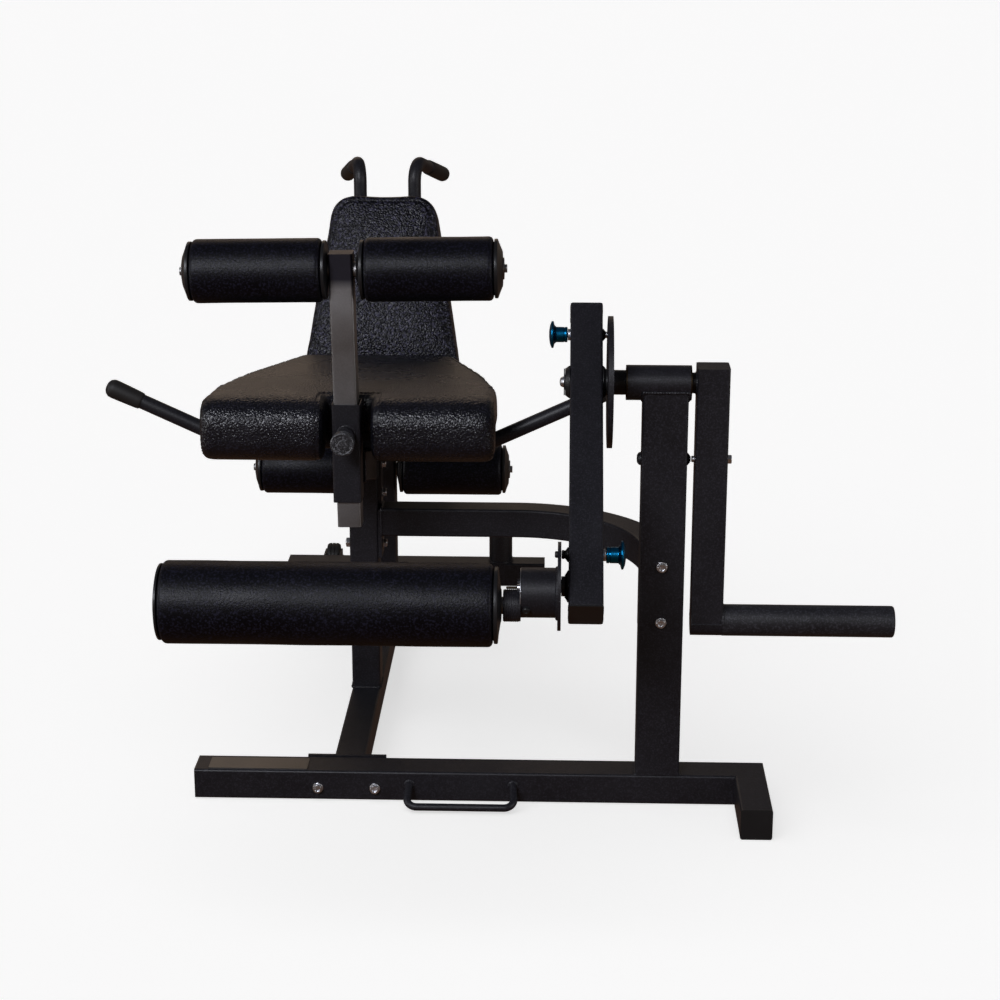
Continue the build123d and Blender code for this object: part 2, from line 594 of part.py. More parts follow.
def end_screw(plane, washer_r):
    """Washer and domed screw head on the end of an axle, outwards along the plane."""
    disc(plane, washer_r, 2.0)
    disc(plane.offset(2.0), 6.5, 4.5)


# Distances from the post along the axle: inner cap, foam's two ends and outer cap.
THIGH_LEFT = (20.5, 30.0, 233.0, 247.0)
THIGH_RIGHT = (24.0, 37.0, 238.0, 252.0)

with BuildPart() as hold_down_axle:
    left_end, right_end = THIGH_LEFT[3] + GAP, THIGH_RIGHT[3] + GAP
    disc(along_axle(-left_end), AXLE_R, left_end + right_end)
    end_screw(along_axle(right_end), 17.0)
    end_screw(reversed_plane(along_axle(-left_end)), 17.0)
save(hold_down_axle, "hold_down_axle")

FOAM_BORE = 20.0


def roller_caps(plane_at, inner, foam_0, foam_1, outer, radius):
    """The two plastic end caps of one roller, each with a sleeve that turns on the axle."""
    sleeve = 28.0
    rim, nose = radius - 4.0, AXLE_R + 8.0
    bore = AXLE_R + RUN
    cone(plane_at(inner), nose, rim, foam_0 - inner, bore)
    disc(plane_at(foam_0), FOAM_BORE, sleeve, bore)
    cone(plane_at(foam_1), rim, nose + 8.0, outer - foam_1, bore)
    disc(plane_at(foam_1 - sleeve), FOAM_BORE, sleeve, bore)


def thigh_roller(name, side, stations):
    """Foam and caps of one thigh roller; side is +1 or -1 from the post."""
    inner, foam_0, foam_1, outer = stations

    def plane_at(x):
        base = along_axle(side * x)
        return base if side > 0 else reversed_plane(base)

    with BuildPart() as foam:
        disc(plane_at(foam_0), THIGH_R, foam_1 - foam_0, FOAM_BORE)
    save(foam, f"{name}_thigh_roller")
    with BuildPart() as caps:
        roller_caps(plane_at, inner, foam_0, foam_1, outer, THIGH_R)
    save(caps, f"{name}_thigh_roller_caps")


thigh_roller("left", -1, THIGH_LEFT)
thigh_roller("right", 1, THIGH_RIGHT)

# ---------------------------------------------------------------- rear rollers
REAR_INNER, REAR_FOAM_0, REAR_FOAM_1, REAR_OUTER = 28.0, 40.0, 228.0, 241.0

with BuildPart() as rear_roller_axle:
    reach = REAR_OUTER + GAP
    disc(along_x(-reach, REAR_POST_Y, REAR_AXLE_Z), AXLE_R, 2 * reach)
    end_screw(along_x(reach, REAR_POST_Y, REAR_AXLE_Z), 17.0)
    end_screw(from_right(-reach, REAR_POST_Y, REAR_AXLE_Z), 17.0)
save(rear_roller_axle, "rear_roller_axle")


def rear_plane(side):
    if side > 0:
        return lambda x: along_x(x, REAR_POST_Y, REAR_AXLE_Z)
    return lambda x: from_right(-x, REAR_POST_Y, REAR_AXLE_Z)


with BuildPart() as rear_rollers:
    for side in (-1, 1):
        disc(rear_plane(side)(REAR_FOAM_0), REAR_R, REAR_FOAM_1 - REAR_FOAM_0, FOAM_BORE)
save(rear_rollers, "rear_rollers")

with BuildPart() as rear_roller_caps:
    for side in (-1, 1):
        roller_caps(rear_plane(side), REAR_INNER, REAR_FOAM_0, REAR_FOAM_1, REAR_OUTER, REAR_R)
save(rear_roller_caps, "rear_roller_caps")

# ---------------------------------------------------------------- shaft, selector disc, weight arm
DISC_X, DISC_T, DISC_R = 411.0, 8.0, 101.0
DISC_HUB_R, DISC_HUB_END = 19.0, 438.9
WASHER_X, WASHER_T, WASHER_R = 343.5, 6.5, 20.5
SHAFT_LEFT = WASHER_X + WASHER_T
WEIGHT_LEFT, WEIGHT_RIGHT = WEIGHT_X - TUBE / 2, WEIGHT_X + TUBE / 2
WEIGHT_TOP = PIVOT_Z + 27.0
HORN_Z = PIVOT_Z - HORN_DROP
HOLE_STEP = 15

with BuildPart() as main_shaft:
    disc(along_x(SHAFT_LEFT, PIVOT_Y, PIVOT_Z), SHAFT_R, WEIGHT_LEFT - SHAFT_LEFT)
save(main_shaft, "main_shaft")

with BuildPart() as selector_disc:
    disc(along_x(DISC_X, PIVOT_Y, PIVOT_Z), DISC_R, DISC_T, SHAFT_R)
    disc(along_x(DISC_X + DISC_T, PIVOT_Y, PIVOT_Z), DISC_HUB_R, DISC_HUB_END - DISC_X - DISC_T, SHAFT_R)
    for turn in range(-6, 7):
        angle = radians(ARM_LEAN + turn * HOLE_STEP)
        hole_y = PIVOT_Y - UPPER_PIN_D * sin(angle)
        hole_z = PIVOT_Z - UPPER_PIN_D * cos(angle)
        disc(along_x(DISC_X, hole_y, hole_z), BOLT_HOLE_R, DISC_T, mode=Mode.SUBTRACT)
save(selector_disc, "selector_disc")

with BuildPart() as weight_arm:
    with BuildSketch(Plane(origin=(WEIGHT_X, PIVOT_Y, HORN_Z))):
        box_section()
    extrude(amount=WEIGHT_TOP - HORN_Z)
    with BuildSketch(Plane(origin=(WEIGHT_X, PIVOT_Y, WEIGHT_TOP - WALL))):
        RectangleRounded(TUBE, TUBE, CORNER)
    extrude(amount=WALL)
    disc(along_x(WEIGHT_LEFT, PIVOT_Y, STOP_Z), BOLT_HOLE_R, TUBE, mode=Mode.SUBTRACT)
    # Round stub across the arm's lower end, which the horn continues a little wider.
    disc(along_x(WEIGHT_LEFT, PIVOT_Y, HORN_Z), HORN_R - 0.5, TUBE)
save(weight_arm, "weight_arm")

with BuildPart() as plate_horn:
    horn_wall, horn_end_wall = 4.0, 6.0
    disc(along_x(WEIGHT_RIGHT, PIVOT_Y, HORN_Z), HORN_R, HORN_END - WEIGHT_RIGHT)
    fillet(plate_horn.edges().filter_by(GeomType.CIRCLE).sort_by(Axis.X)[-1], 4.0)
    disc(along_x(WEIGHT_RIGHT, PIVOT_Y, HORN_Z), HORN_R - horn_wall,
         HORN_END - WEIGHT_RIGHT - horn_end_wall, mode=Mode.SUBTRACT)
save(plate_horn, "plate_horn")

with BuildPart() as shaft_fasteners:
    dome_r, dome_h = 8.5, 5.5
    disc(along_x(WASHER_X, PIVOT_Y, PIVOT_Z), WASHER_R, WASHER_T)
    disc(along_x(WASHER_X - dome_h, PIVOT_Y, PIVOT_Z), dome_r, dome_h)
    nut_t = 5.0
    hexagon(along_x(WEIGHT_RIGHT, PIVOT_Y, STOP_Z), 16.0, 7.0)
    disc(along_x(WEIGHT_LEFT, PIVOT_Y, STOP_Z), BOLT_R, TUBE)
    disc(along_x(WEIGHT_LEFT - nut_t, PIVOT_Y, STOP_Z), 8.0, nut_t)
save(shaft_fasteners, "shaft_fasteners")

# ---------------------------------------------------------------- roller arm
ARM_AXIS = Plane(
    origin=on_arm((ARM_LEFT + ARM_RIGHT) / 2, -ARM_ABOVE).origin, x_dir=(1, 0, 0),
    z_dir=(0, -sin(radians(ARM_LEAN)), -cos(radians(ARM_LEAN)))
)
SLEEVE_R, LOWER_BUSH_R, PIN_BODY_R = 21.0, 14.5, 7.0
PIVOT_PIN_R = 10.0
CARRIAGE_DISC_X, CARRIAGE_DISC_T, CARRIAGE_DISC_R = 338.3, 5.0, 64.0
CARRIAGE_FACE = CARRIAGE_DISC_X + CARRIAGE_DISC_T

with BuildPart() as roller_arm:
    with BuildSketch(ARM_AXIS.offset(CAP)):
        box_section()
    extrude(amount=ARM_ABOVE + ARM_BELOW - 2 * CAP)
    for d, radius in ((0, SLEEVE_R), (UPPER_PIN_D, PIN_BODY_R), (LOWER_PIN_D, PIN_BODY_R),
                      (CARRIAGE_D, LOWER_BUSH_R)):
        disc(on_arm(ARM_LEFT, d), radius, TUBE, mode=Mode.SUBTRACT)
save(roller_arm, "roller_arm")

with BuildPart() as arm_end_caps:
    end_cap(ARM_AXIS)
    end_cap(reversed_plane(ARM_AXIS.offset(ARM_ABOVE + ARM_BELOW)))
save(arm_end_caps, "arm_end_caps")

with BuildPart() as arm_bushes:
    left_flange = SHAFT_LEFT + GAP
    disc(on_arm(ARM_LEFT, 0), SLEEVE_R, TUBE, SHAFT_R + RUN)
    disc(on_arm(left_flange, 0), WASHER_R, ARM_LEFT - left_flange, SHAFT_R + RUN)
    disc(on_arm(ARM_RIGHT, 0), WASHER_R, DISC_X - GAP - ARM_RIGHT, SHAFT_R + RUN)
    disc(on_arm(CARRIAGE_FACE + GAP, CARRIAGE_D), LOWER_BUSH_R, ARM_RIGHT - CARRIAGE_FACE - GAP,
         PIVOT_PIN_R + RUN)
save(arm_bushes, "arm_bushes")

NECK_T = 4.0
UPPER_NECK_X, LOWER_NECK_X = ARM_LEFT - NECK_T, ARM_RIGHT + NECK_T

with BuildPart() as pin_bodies:
    disc(on_arm(ARM_LEFT, UPPER_PIN_D), PIN_BODY_R, TUBE, BOLT_R + RUN)
    disc(on_arm(UPPER_NECK_X, UPPER_PIN_D), PIN_BODY_R + 2, NECK_T, BOLT_R + RUN)
    disc(on_arm(ARM_LEFT, LOWER_PIN_D), PIN_BODY_R, TUBE, BOLT_R + RUN)
    disc(on_arm(ARM_RIGHT, LOWER_PIN_D), PIN_BODY_R + 2, NECK_T, BOLT_R + RUN)
save(pin_bodies, "pin_bodies")

KNOB_R, KNOB_FLANGE_R, KNOB_BARREL, KNOB_FLANGE_T, KNOB_SEAT = 12.0, 21.0, 21.0, 5.0, 14.0


def blue_knob(plane):
    """Anodised knob: barrel, cone and finger flange, with a blind seat for the pin."""
    disc(plane, KNOB_R, KNOB_BARREL)
    with BuildSketch(plane.offset(KNOB_BARREL)) as narrow:
        Circle(KNOB_R)
    with BuildSketch(plane.offset(KNOB_BARREL + KNOB_FLANGE_T)) as wide:
        Circle(KNOB_FLANGE_R)
    loft([narrow.sketch, wide.sketch])
    disc(plane.offset(KNOB_BARREL + KNOB_FLANGE_T), KNOB_FLANGE_R, 3.0)
    disc(plane, BOLT_R, KNOB_SEAT, mode=Mode.SUBTRACT)


with BuildPart() as upper_pull_pin:
    pin_start = UPPER_NECK_X - GAP - KNOB_SEAT
    disc(on_arm(pin_start, UPPER_PIN_D), BOLT_R, DISC_X - GAP - pin_start)
save(upper_pull_pin, "upper_pull_pin")

with BuildPart() as upper_pin_knob:
    blue_knob(reversed_plane(on_arm(UPPER_NECK_X - GAP, UPPER_PIN_D)))
save(upper_pin_knob, "upper_pin_knob")

with BuildPart() as lower_pull_pin:
    pin_start = CARRIAGE_FACE + GAP
    disc(on_arm(pin_start, LOWER_PIN_D), BOLT_R, LOWER_NECK_X + GAP + KNOB_SEAT - pin_start)
save(lower_pull_pin, "lower_pull_pin")

with BuildPart() as lower_pin_knob:
    blue_knob(on_arm(LOWER_NECK_X + GAP, LOWER_PIN_D))
save(lower_pin_knob, "lower_pin_knob")

# ---------------------------------------------------------------- roller carriage and shin roller
HUB_R, HUB_LEFT, BOSS_R, BOSS_LEFT = 36.0, 286.0, 22.5, 261.0
SHIN_LEFT, SHIN_FOAM_0, SHIN_FOAM_1, SHIN_INNER = -234.0, -227.0, 247.0, 258.5

with BuildPart() as carriage_disc:
    disc(on_arm(CARRIAGE_DISC_X, CARRIAGE_D), CARRIAGE_DISC_R, CARRIAGE_DISC_T, PIVOT_PIN_R)
    for turn in range(-4, 5):
        angle = radians(ARM_LEAN + turn * HOLE_STEP)
        reach = CARRIAGE_D - LOWER_PIN_D
        pivot = on_arm(CARRIAGE_DISC_X, CARRIAGE_D).origin
        hole = along_x(CARRIAGE_DISC_X, pivot.Y + reach * sin(angle), pivot.Z + reach * cos(angle))
        disc(hole, BOLT_HOLE_R, CARRIAGE_DISC_T, mode=Mode.SUBTRACT)
save(carriage_disc, "carriage_disc")

with BuildPart() as carriage_hub:
    disc(on_arm(HUB_LEFT, HUB_D), HUB_R, CARRIAGE_DISC_X - HUB_LEFT)
    disc(on_arm(CARRIAGE_DISC_X, CARRIAGE_D), PIVOT_PIN_R, ARM_RIGHT - 2 - CARRIAGE_DISC_X)
    disc(on_arm(BOSS_LEFT, ROLLER_D), BOSS_R, HUB_LEFT - BOSS_LEFT)
    disc(on_arm(HUB_LEFT - 5, CARRIAGE_D - 5), 6.0, 5.0)
save(carriage_hub, "carriage_hub")

with BuildPart() as roller_axle:
    disc(on_arm(SHIN_LEFT + 3, ROLLER_D), AXLE_R, BOSS_LEFT - SHIN_LEFT - 3)
save(roller_axle, "roller_axle")

with BuildPart() as shin_roller:
    disc(on_arm(SHIN_FOAM_0, ROLLER_D), SHIN_R, SHIN_FOAM_1 - SHIN_FOAM_0, FOAM_BORE)
save(shin_roller, "shin_roller")

with BuildPart() as shin_roller_caps:
    rim, sleeve_l, nose = SHIN_R - 5, 30.0, 24.0
    cone(on_arm(SHIN_FOAM_1, ROLLER_D), rim, nose, SHIN_INNER - SHIN_FOAM_1, AXLE_R + RUN)
    disc(on_arm(SHIN_FOAM_1 - sleeve_l, ROLLER_D), FOAM_BORE, sleeve_l, AXLE_R + RUN)
    cone(on_arm(SHIN_LEFT + 2, ROLLER_D), rim - 8, rim, SHIN_FOAM_0 - SHIN_LEFT - 2, AXLE_R + RUN)
    disc(on_arm(SHIN_LEFT, ROLLER_D), rim - 8, 2)
    disc(on_arm(SHIN_FOAM_0, ROLLER_D), FOAM_BORE, sleeve_l, AXLE_R + RUN)
save(shin_roller_caps, "shin_roller_caps")
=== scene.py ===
"""Looks for the plate-loaded leg extension machine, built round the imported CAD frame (metres)."""
import json
from math import cos, exp, pi, radians, sin, sqrt, tau

import bmesh
import bpy
from mathutils import Matrix, Vector, noise
from mathutils.bvhtree import BVHTree
from mathutils.kdtree import KDTree


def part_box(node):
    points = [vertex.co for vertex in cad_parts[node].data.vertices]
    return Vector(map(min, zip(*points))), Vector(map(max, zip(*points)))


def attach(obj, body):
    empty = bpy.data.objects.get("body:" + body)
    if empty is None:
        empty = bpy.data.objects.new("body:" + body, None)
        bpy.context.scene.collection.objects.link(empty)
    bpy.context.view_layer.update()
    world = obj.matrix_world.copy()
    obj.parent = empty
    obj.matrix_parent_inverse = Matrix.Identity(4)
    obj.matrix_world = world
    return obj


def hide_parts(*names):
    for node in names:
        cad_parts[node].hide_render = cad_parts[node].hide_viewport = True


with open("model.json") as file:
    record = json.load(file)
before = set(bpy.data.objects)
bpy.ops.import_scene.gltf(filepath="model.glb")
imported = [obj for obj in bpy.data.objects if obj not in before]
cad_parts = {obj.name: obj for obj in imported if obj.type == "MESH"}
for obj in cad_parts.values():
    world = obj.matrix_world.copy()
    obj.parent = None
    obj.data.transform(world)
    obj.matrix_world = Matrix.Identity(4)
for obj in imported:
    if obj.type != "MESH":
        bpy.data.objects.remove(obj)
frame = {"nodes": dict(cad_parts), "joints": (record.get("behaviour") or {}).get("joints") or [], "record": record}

MM = 0.001
scene = bpy.context.scene
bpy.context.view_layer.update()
X, Y, Z = Vector((1, 0, 0)), Vector((0, 1, 0)), Vector((0, 0, 1))


# ---------------------------------------------------------------- camera, floor and light
def make_camera():
    focal, sensor = 77.21, 36.0
    place = Vector((0.34454, -3.20378, 1.45834))
    yaw, pitch, roll = radians(1.749), radians(16.65), radians(0.063)
    data = bpy.data.cameras.new("camera")
    data.lens, data.sensor_width, data.clip_end = focal, sensor, 200.0
    camera = bpy.data.objects.new("camera", data)
    turn = (Matrix.Rotation(yaw, 4, "Z") @ Matrix.Rotation(pi / 2 - pitch, 4, "X")
            @ Matrix.Rotation(roll, 4, "Z"))
    camera.matrix_world = Matrix.Translation(place) @ turn
    scene.collection.objects.link(camera)
    scene.camera = camera


def pale_surface(name, base, glow):
    """Matt material that also gives off a little light of its own, for the floor and the backdrop."""
    pale = bpy.data.materials.new(name)
    pale.use_nodes = True
    shader = pale.node_tree.nodes["Principled BSDF"]
    shader.inputs["Base Color"].default_value = (base, base, base, 1)
    shader.inputs["Roughness"].default_value = 1.0
    shader.inputs["Specular IOR Level"].default_value = 0.0
    shader.inputs["Emission Color"].default_value = (1, 1, 1, 1)
    shader.inputs["Emission Strength"].default_value = glow
    return pale


def stage_piece(name, verts, faces, material):
    """A mesh of the set. It shows to the camera and leaves the light on the machine alone."""
    mesh = bpy.data.meshes.new(name)
    mesh.from_pydata(verts, [], faces)
    mesh.materials.append(material)
    piece = bpy.data.objects.new(name, mesh)
    scene.collection.objects.link(piece)
    piece.visible_glossy = piece.visible_diffuse = False
    return piece


def make_floor():
    """White floor, lit evenly by a wide sun of its own."""
    half = 60.0
    floor = stage_piece("floor", [(-half, -half, 0), (half, -half, 0), (half, half, 0), (-half, half, 0)],
                        [(0, 1, 2, 3)], pale_surface("pale_floor", 0.8, 0.632))
    floor.location.z = -0.0004
    sun = bpy.data.lights.new("floor_sun", "SUN")
    sun.energy, sun.angle = 1.15, radians(80)
    lamp = bpy.data.objects.new("floor_sun", sun)
    lamp.rotation_euler = (radians(20), radians(-22), 0)
    scene.collection.objects.link(lamp)
    only_floor = bpy.data.collections.new("only_floor")
    only_floor.objects.link(floor)
    lamp.light_linking.receiver_collection = only_floor
    return floor


def make_backdrop():
    """Pale wall far out all round, so that no view from low down looks past the floor's edge."""
    flat, curve, count, below = 32.0, 12.0, 96, 0.002
    rings = [(flat + curve * sin(radians(a)), curve * (1 - cos(radians(a))) - below)
             for a in range(0, 91, 10)]
    verts = [(r * cos(tau * k / count), r * sin(tau * k / count), z) for r, z in rings
             for k in range(count)]
    faces = []
    for start in range(0, count * (len(rings) - 1), count):
        bridge(faces, range(start, start + count), range(start + count, start + 2 * count))
    wall = stage_piece("backdrop", verts, faces, pale_surface("pale_backdrop", 0.0, 0.95))
    wall.data.shade_smooth()
    wall.visible_shadow = wall.visible_transmission = False


def make_world():
    """Dim all round, dark below, with a warm band at the horizon."""
    world = bpy.data.worlds.new("studio")
    scene.world = world
    world.use_nodes = True
    nodes, links = world.node_tree.nodes, world.node_tree.links
    coords = nodes.new("ShaderNodeTexCoord")
    parts = nodes.new("ShaderNodeSeparateXYZ")
    ramp = nodes.new("ShaderNodeValToRGB")
    scale = nodes.new("ShaderNodeMapRange")
    scale.inputs["From Min"].default_value = -1.0
    links.new(coords.outputs["Generated"], parts.inputs[0])
    links.new(parts.outputs["Z"], scale.inputs["Value"])
    links.new(scale.outputs[0], ramp.inputs[0])
    stops = ((0.0, (0.1, 0.048, 0.024)), (0.42, (0.09, 0.06, 0.047)), (0.5, (0.2, 0.157, 0.126)),
             (0.6, (0.16, 0.134, 0.112)), (0.75, (0.075, 0.075, 0.082)), (1.0, (0.06, 0.06, 0.066)))
    elements = ramp.color_ramp.elements
    while len(elements) < len(stops):
        elements.new(0.5)
    for element, (position, colour) in zip(elements, stops):
        element.position = position
        element.color = (*colour, 1)
    links.new(ramp.outputs[0], nodes["Background"].inputs["Color"])
    nodes["Background"].inputs["Strength"].default_value = 1.0


def make_light(name, place, aim, size, watts, colour):
    data = bpy.data.lights.new(name, "AREA")
    data.shape, data.size, data.size_y = "RECTANGLE", size[0], size[1]
    data.energy, data.color = watts, colour
    light = bpy.data.objects.new(name, data)
    light.location = place
    light.rotation_euler = (Vector(aim) - Vector(place)).to_track_quat("-Z", "Y").to_euler()
    scene.collection.objects.link(light)
    light.light_linking.receiver_collection = not_floor


# ---------------------------------------------------------------- materials
PATCH_SIZE, ROUGHNESS_SPREAD = 140.0, 0.08
# Colour the post's steel turns to above a given height, and half the span it fades in over.
DARK_TOP_COLOUR, DARK_TOP_FADE = (0.045, 0.043, 0.056), 8 * MM


def add_node(tree, kind, inputs, **settings):
    """A shader node. An input that is given a socket is linked, any other is set."""
    node = tree.nodes.new("ShaderNode" + kind)
    for key, value in settings.items():
        setattr(node, key, value)
    for key, value in inputs.items():
        if isinstance(value, bpy.types.NodeSocket):
            tree.links.new(value, node.inputs[key])
        else:
            node.inputs[key].default_value = value
    return node


def speckle(tree, place, size, detail, roughness=0.5, output="Fac"):
    """Noise whose features are about size millimetres across."""
    return add_node(tree, "TexNoise", {"Vector": place, "Scale": 1.0 / (size * MM), "Detail": detail,
                                       "Roughness": roughness}).outputs[output]


def ranged(tree, value, low, high, out_low=0.0, out_high=1.0):
    """A value stretched from one range to another."""
    return add_node(tree, "MapRange", {"Value": value, "From Min": low, "From Max": high,
                                       "To Min": out_low, "To Max": out_high}).outputs[0]


def overlaid(tree, factor, under, colour):
    """A plain colour laid over another one where the factor is high."""
    return add_node(tree, "Mix", {"Factor": factor, "A": under, "B": (*colour, 1)},
                    data_type="RGBA").outputs["Result"]


def mottled(tree, patches, specks, colour, mottle):
    """A colour that varies with wide patches and small specks."""
    tone = add_node(tree, "Mix", {"Factor": 0.35, "A": patches, "B": specks}, data_type="FLOAT")
    ramp = add_node(tree, "ValToRGB", {"Fac": tone.outputs[0]})
    low, high = ramp.color_ramp.elements
    low.position, high.position = 0.3, 0.7
    low.color = (*[c * (1 - mottle) for c in colour], 1)
    high.color = (*[min(1.0, c * (1 + mottle)) for c in colour], 1)
    return ramp.outputs[0]


def pebbled(tree, place, size):
    """Rounded cells of uneven shape, as in embossed vinyl."""
    warp = speckle(tree, place, size * 3, 2.0, output="Color")
    shifted = add_node(tree, "VectorMath", {0: warp, 1: (size * MM,) * 3, 2: place},
                       operation="MULTIPLY_ADD").outputs[0]
    return add_node(tree, "TexVoronoi", {"Vector": shifted, "Scale": 1.0 / (size * MM)},
                    feature="SMOOTH_F1")


def relief(tree, place, pebble, pebble_size, grain, grain_size, brushed, scuff):
    """The layers of relief, coarse to fine: a height, a strength and a depth in mm for each."""
    layers = []
    if pebble:
        cells = pebbled(tree, place, pebble_size)
        cells.inputs["Smoothness"].default_value = 0.35
        layers.append((cells.outputs["Distance"], 1.0, -pebble))
    if grain:
        layers.append((speckle(tree, place, grain_size, 3.0, 0.65), 1.0, grain))
    if brushed:
        along = add_node(tree, "Mapping", {"Vector": place, "Scale": (0.04, 1.0, 1.0)}).outputs[0]
        layers.append((speckle(tree, along, 0.7, 4.0), 1.0, brushed))
    if scuff:
        layers.append((speckle(tree, place, 60.0, 12.0, 0.75), 0.6, scuff))
    return layers


def finish(name, colour, roughness, metallic=0.0, specular=0.5, mottle=0.25, grain=0.0, grain_size=1.0,
           pebble=0.0, pebble_size=2.0, brushed=0.0, scuff=0.0, fleck=0.0, fleck_size=3.0,
           dark_above=None):
    """Procedural material. Sizes and depths are in mm. mottle is how far the colour varies, fleck how
    many times lighter the specks of painted glint are, and above the given height in metres the colour turns dark."""
    made = bpy.data.materials.new(name)
    made.use_nodes = True
    tree = made.node_tree
    shader = tree.nodes["Principled BSDF"]
    shader.inputs["Metallic"].default_value = metallic
    shader.inputs["Specular IOR Level"].default_value = specular
    place = tree.nodes.new("ShaderNodeTexCoord").outputs["Object"]
    patches = speckle(tree, place, PATCH_SIZE, 5.0, 0.6)
    specks = speckle(tree, place, max(grain_size, pebble_size) * 1.2, 2.0)
    surface = mottled(tree, patches, specks, colour, mottle)
    # Lighter specks painted into the colour: painted glints of the grain.
    if fleck:
        painted_glint = ranged(tree, speckle(tree, place, fleck_size, 1.0), 0.5, 0.68)
        surface = overlaid(tree, painted_glint, surface, [c * fleck for c in colour])
    # Darker colour above a given height, faded in over a short span.
    if dark_above is not None:
        height = add_node(tree, "SeparateXYZ", {0: place}).outputs["Z"]
        fade = ranged(tree, height, dark_above - DARK_TOP_FADE, dark_above + DARK_TOP_FADE)
        surface = overlaid(tree, fade, surface, DARK_TOP_COLOUR)
    tree.links.new(surface, shader.inputs["Base Color"])
    tree.links.new(ranged(tree, patches, 0.3, 0.7, roughness - ROUGHNESS_SPREAD,
                          roughness + ROUGHNESS_SPREAD), shader.inputs["Roughness"])
    normal = None
    for height, strength, depth in relief(tree, place, pebble, pebble_size, grain, grain_size, brushed,
                                          scuff):
        inputs = {"Height": height, "Strength": strength, "Distance": depth * MM}
        if normal:
            inputs["Normal"] = normal
        normal = add_node(tree, "Bump", inputs).outputs["Normal"]
    if normal:
        tree.links.new(normal, shader.inputs["Normal"])
    return made


# fleck in these finishes sets how much lighter the painted glint specks are.
FINISHES = {
    "frame_black": finish("powder_coat", (0.0098, 0.0094, 0.0122), 0.42, specular=0.36, grain=0.2,
                          grain_size=1.5, scuff=0.5, mottle=0.3, fleck=2.4, fleck_size=2.2),
    "grey_steel": finish("satin_steel", (0.3, 0.295, 0.295), 0.45, metallic=1.0, grain=0.05,
                         grain_size=0.6, scuff=0.4, mottle=0.16),
    "zinc_steel": finish("zinc_plate", (0.72, 0.73, 0.76), 0.32, metallic=1.0, grain=0.06,
                         grain_size=0.9, mottle=0.3),
    "brushed_plate": finish("brushed_plate", (0.2, 0.197, 0.195), 0.42, metallic=1.0, brushed=0.05,
                            mottle=0.1),
    "bronze_bush": finish("oiled_bronze", (0.05, 0.036, 0.022), 0.4, metallic=1.0, grain=0.02,
                          mottle=0.2),
    "black_plastic": finish("moulded_plastic", (0.012, 0.012, 0.013), 0.36, specular=0.42,
                            grain=0.03, grain_size=0.7, mottle=0.2),
    "blue_anodised": finish("blue_anodised", (0.006, 0.16, 0.34), 0.26, metallic=1.0, grain=0.012,
                            grain_size=0.4, mottle=0.12),
    "roller_foam": finish("foam_skin", (0.0018, 0.0018, 0.0034), 0.42, specular=0.2, grain=0.5,
                          grain_size=2.6, pebble=0.12, pebble_size=3.2, mottle=0.35, fleck=7.0,
                          fleck_size=3.0),
    "vinyl": finish("pebble_vinyl", (0.0055, 0.0054, 0.0082), 0.28, specular=0.46, pebble=1.1,
                    pebble_size=3.3, grain=0.12, grain_size=1.2, mottle=0.3, fleck=3.0, fleck_size=3.4),
    # The backrest's vinyl is the seat's vinyl made darker and less glossy, painted shade, and its strong lighter
    # specks are painted glints.
    "back_vinyl": finish("back_vinyl", (0.003, 0.0029, 0.0048), 0.3, specular=0.2, pebble=1.05,
                         pebble_size=3.6, grain=0.12, grain_size=1.2, mottle=0.3, fleck=14.0,
                         fleck_size=4.6),
    "knurling": finish("knurling", (0.02, 0.02, 0.022), 0.36, specular=0.6, grain=0.2, grain_size=1.6,
                       mottle=0.4, fleck=7.0, fleck_size=2.4),
    "grip_rubber": finish("grip_rubber", (0.016, 0.0145, 0.014), 0.55, specular=0.35, grain=0.08,
                          grain_size=0.8, mottle=0.25),
    "plywood": finish("black_board", (0.02, 0.017, 0.015), 0.7, specular=0.2, grain=0.1,
                      grain_size=2.0, mottle=0.4),
}
SPECIAL = {
    # The hold-down post's steel turns dark over its top 48 mm.
    "hold_down_post": finish("post_steel", (0.275, 0.271, 0.274), 0.45, metallic=1.0, grain=0.05,
                             grain_size=0.6, scuff=0.4, mottle=0.16,
                             dark_above=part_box("hold_down_post")[1].z - 48 * MM),
    "main_shaft": finish("oiled_shaft", (0.035, 0.034, 0.036), 0.35, metallic=1.0, grain=0.03, mottle=0.3),
    "plate_horn": finish("horn_coat", (0.012, 0.0118, 0.0145), 0.46, specular=0.42, grain=0.3,
                         grain_size=1.8, scuff=0.6, mottle=0.3, fleck=3.2, fleck_size=2.6),
}
for part in frame["record"]["subparts"]:
    for holder in frame["nodes"][part["node"]].material_slots:
        holder.material = SPECIAL.get(part["node"], FINISHES[part["material_slot"]])


# ---------------------------------------------------------------- mesh helpers
def add_piece(name, shape, body, slot_name, replaces=(), sharp=32):
    """Makes a shaded piece from (verts, faces) in the row frame, riding on a body."""
    verts, faces = shape
    mesh = bpy.data.meshes.new(name)
    mesh.from_pydata([tuple(v) for v in verts], [], faces)
    work = bmesh.new()
    work.from_mesh(mesh)
    bmesh.ops.recalc_face_normals(work, faces=work.faces)
    work.to_mesh(mesh)
    work.free()
    mesh.shade_smooth()
    mesh.set_sharp_from_angle(angle=radians(sharp))
    mesh.materials.append(FINISHES[slot_name])
    piece = bpy.data.objects.new(name, mesh)
    scene.collection.objects.link(piece)
    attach(piece, body)
    if replaces:
        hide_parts(*replaces)
    return piece


def join(shapes):
    """One (verts, faces) from several."""
    verts, faces = [], []
    for more_verts, more_faces in shapes:
        start = len(verts)
        verts.extend(more_verts)
        faces.extend([tuple(i + start for i in face) for face in more_faces])
    return verts, faces


def bridge(faces, first, second):
    """Faces between two rings of points, either of which may be one point."""
    count = max(len(first), len(second))
    for k in range(count):
        n = (k + 1) % count
        if len(first) == 1:
            faces.append((first[0], second[k], second[n]))
        elif len(second) == 1:
            faces.append((first[k], second[0], first[n]))
        else:
            faces.append((first[k], second[k], second[n], first[n]))


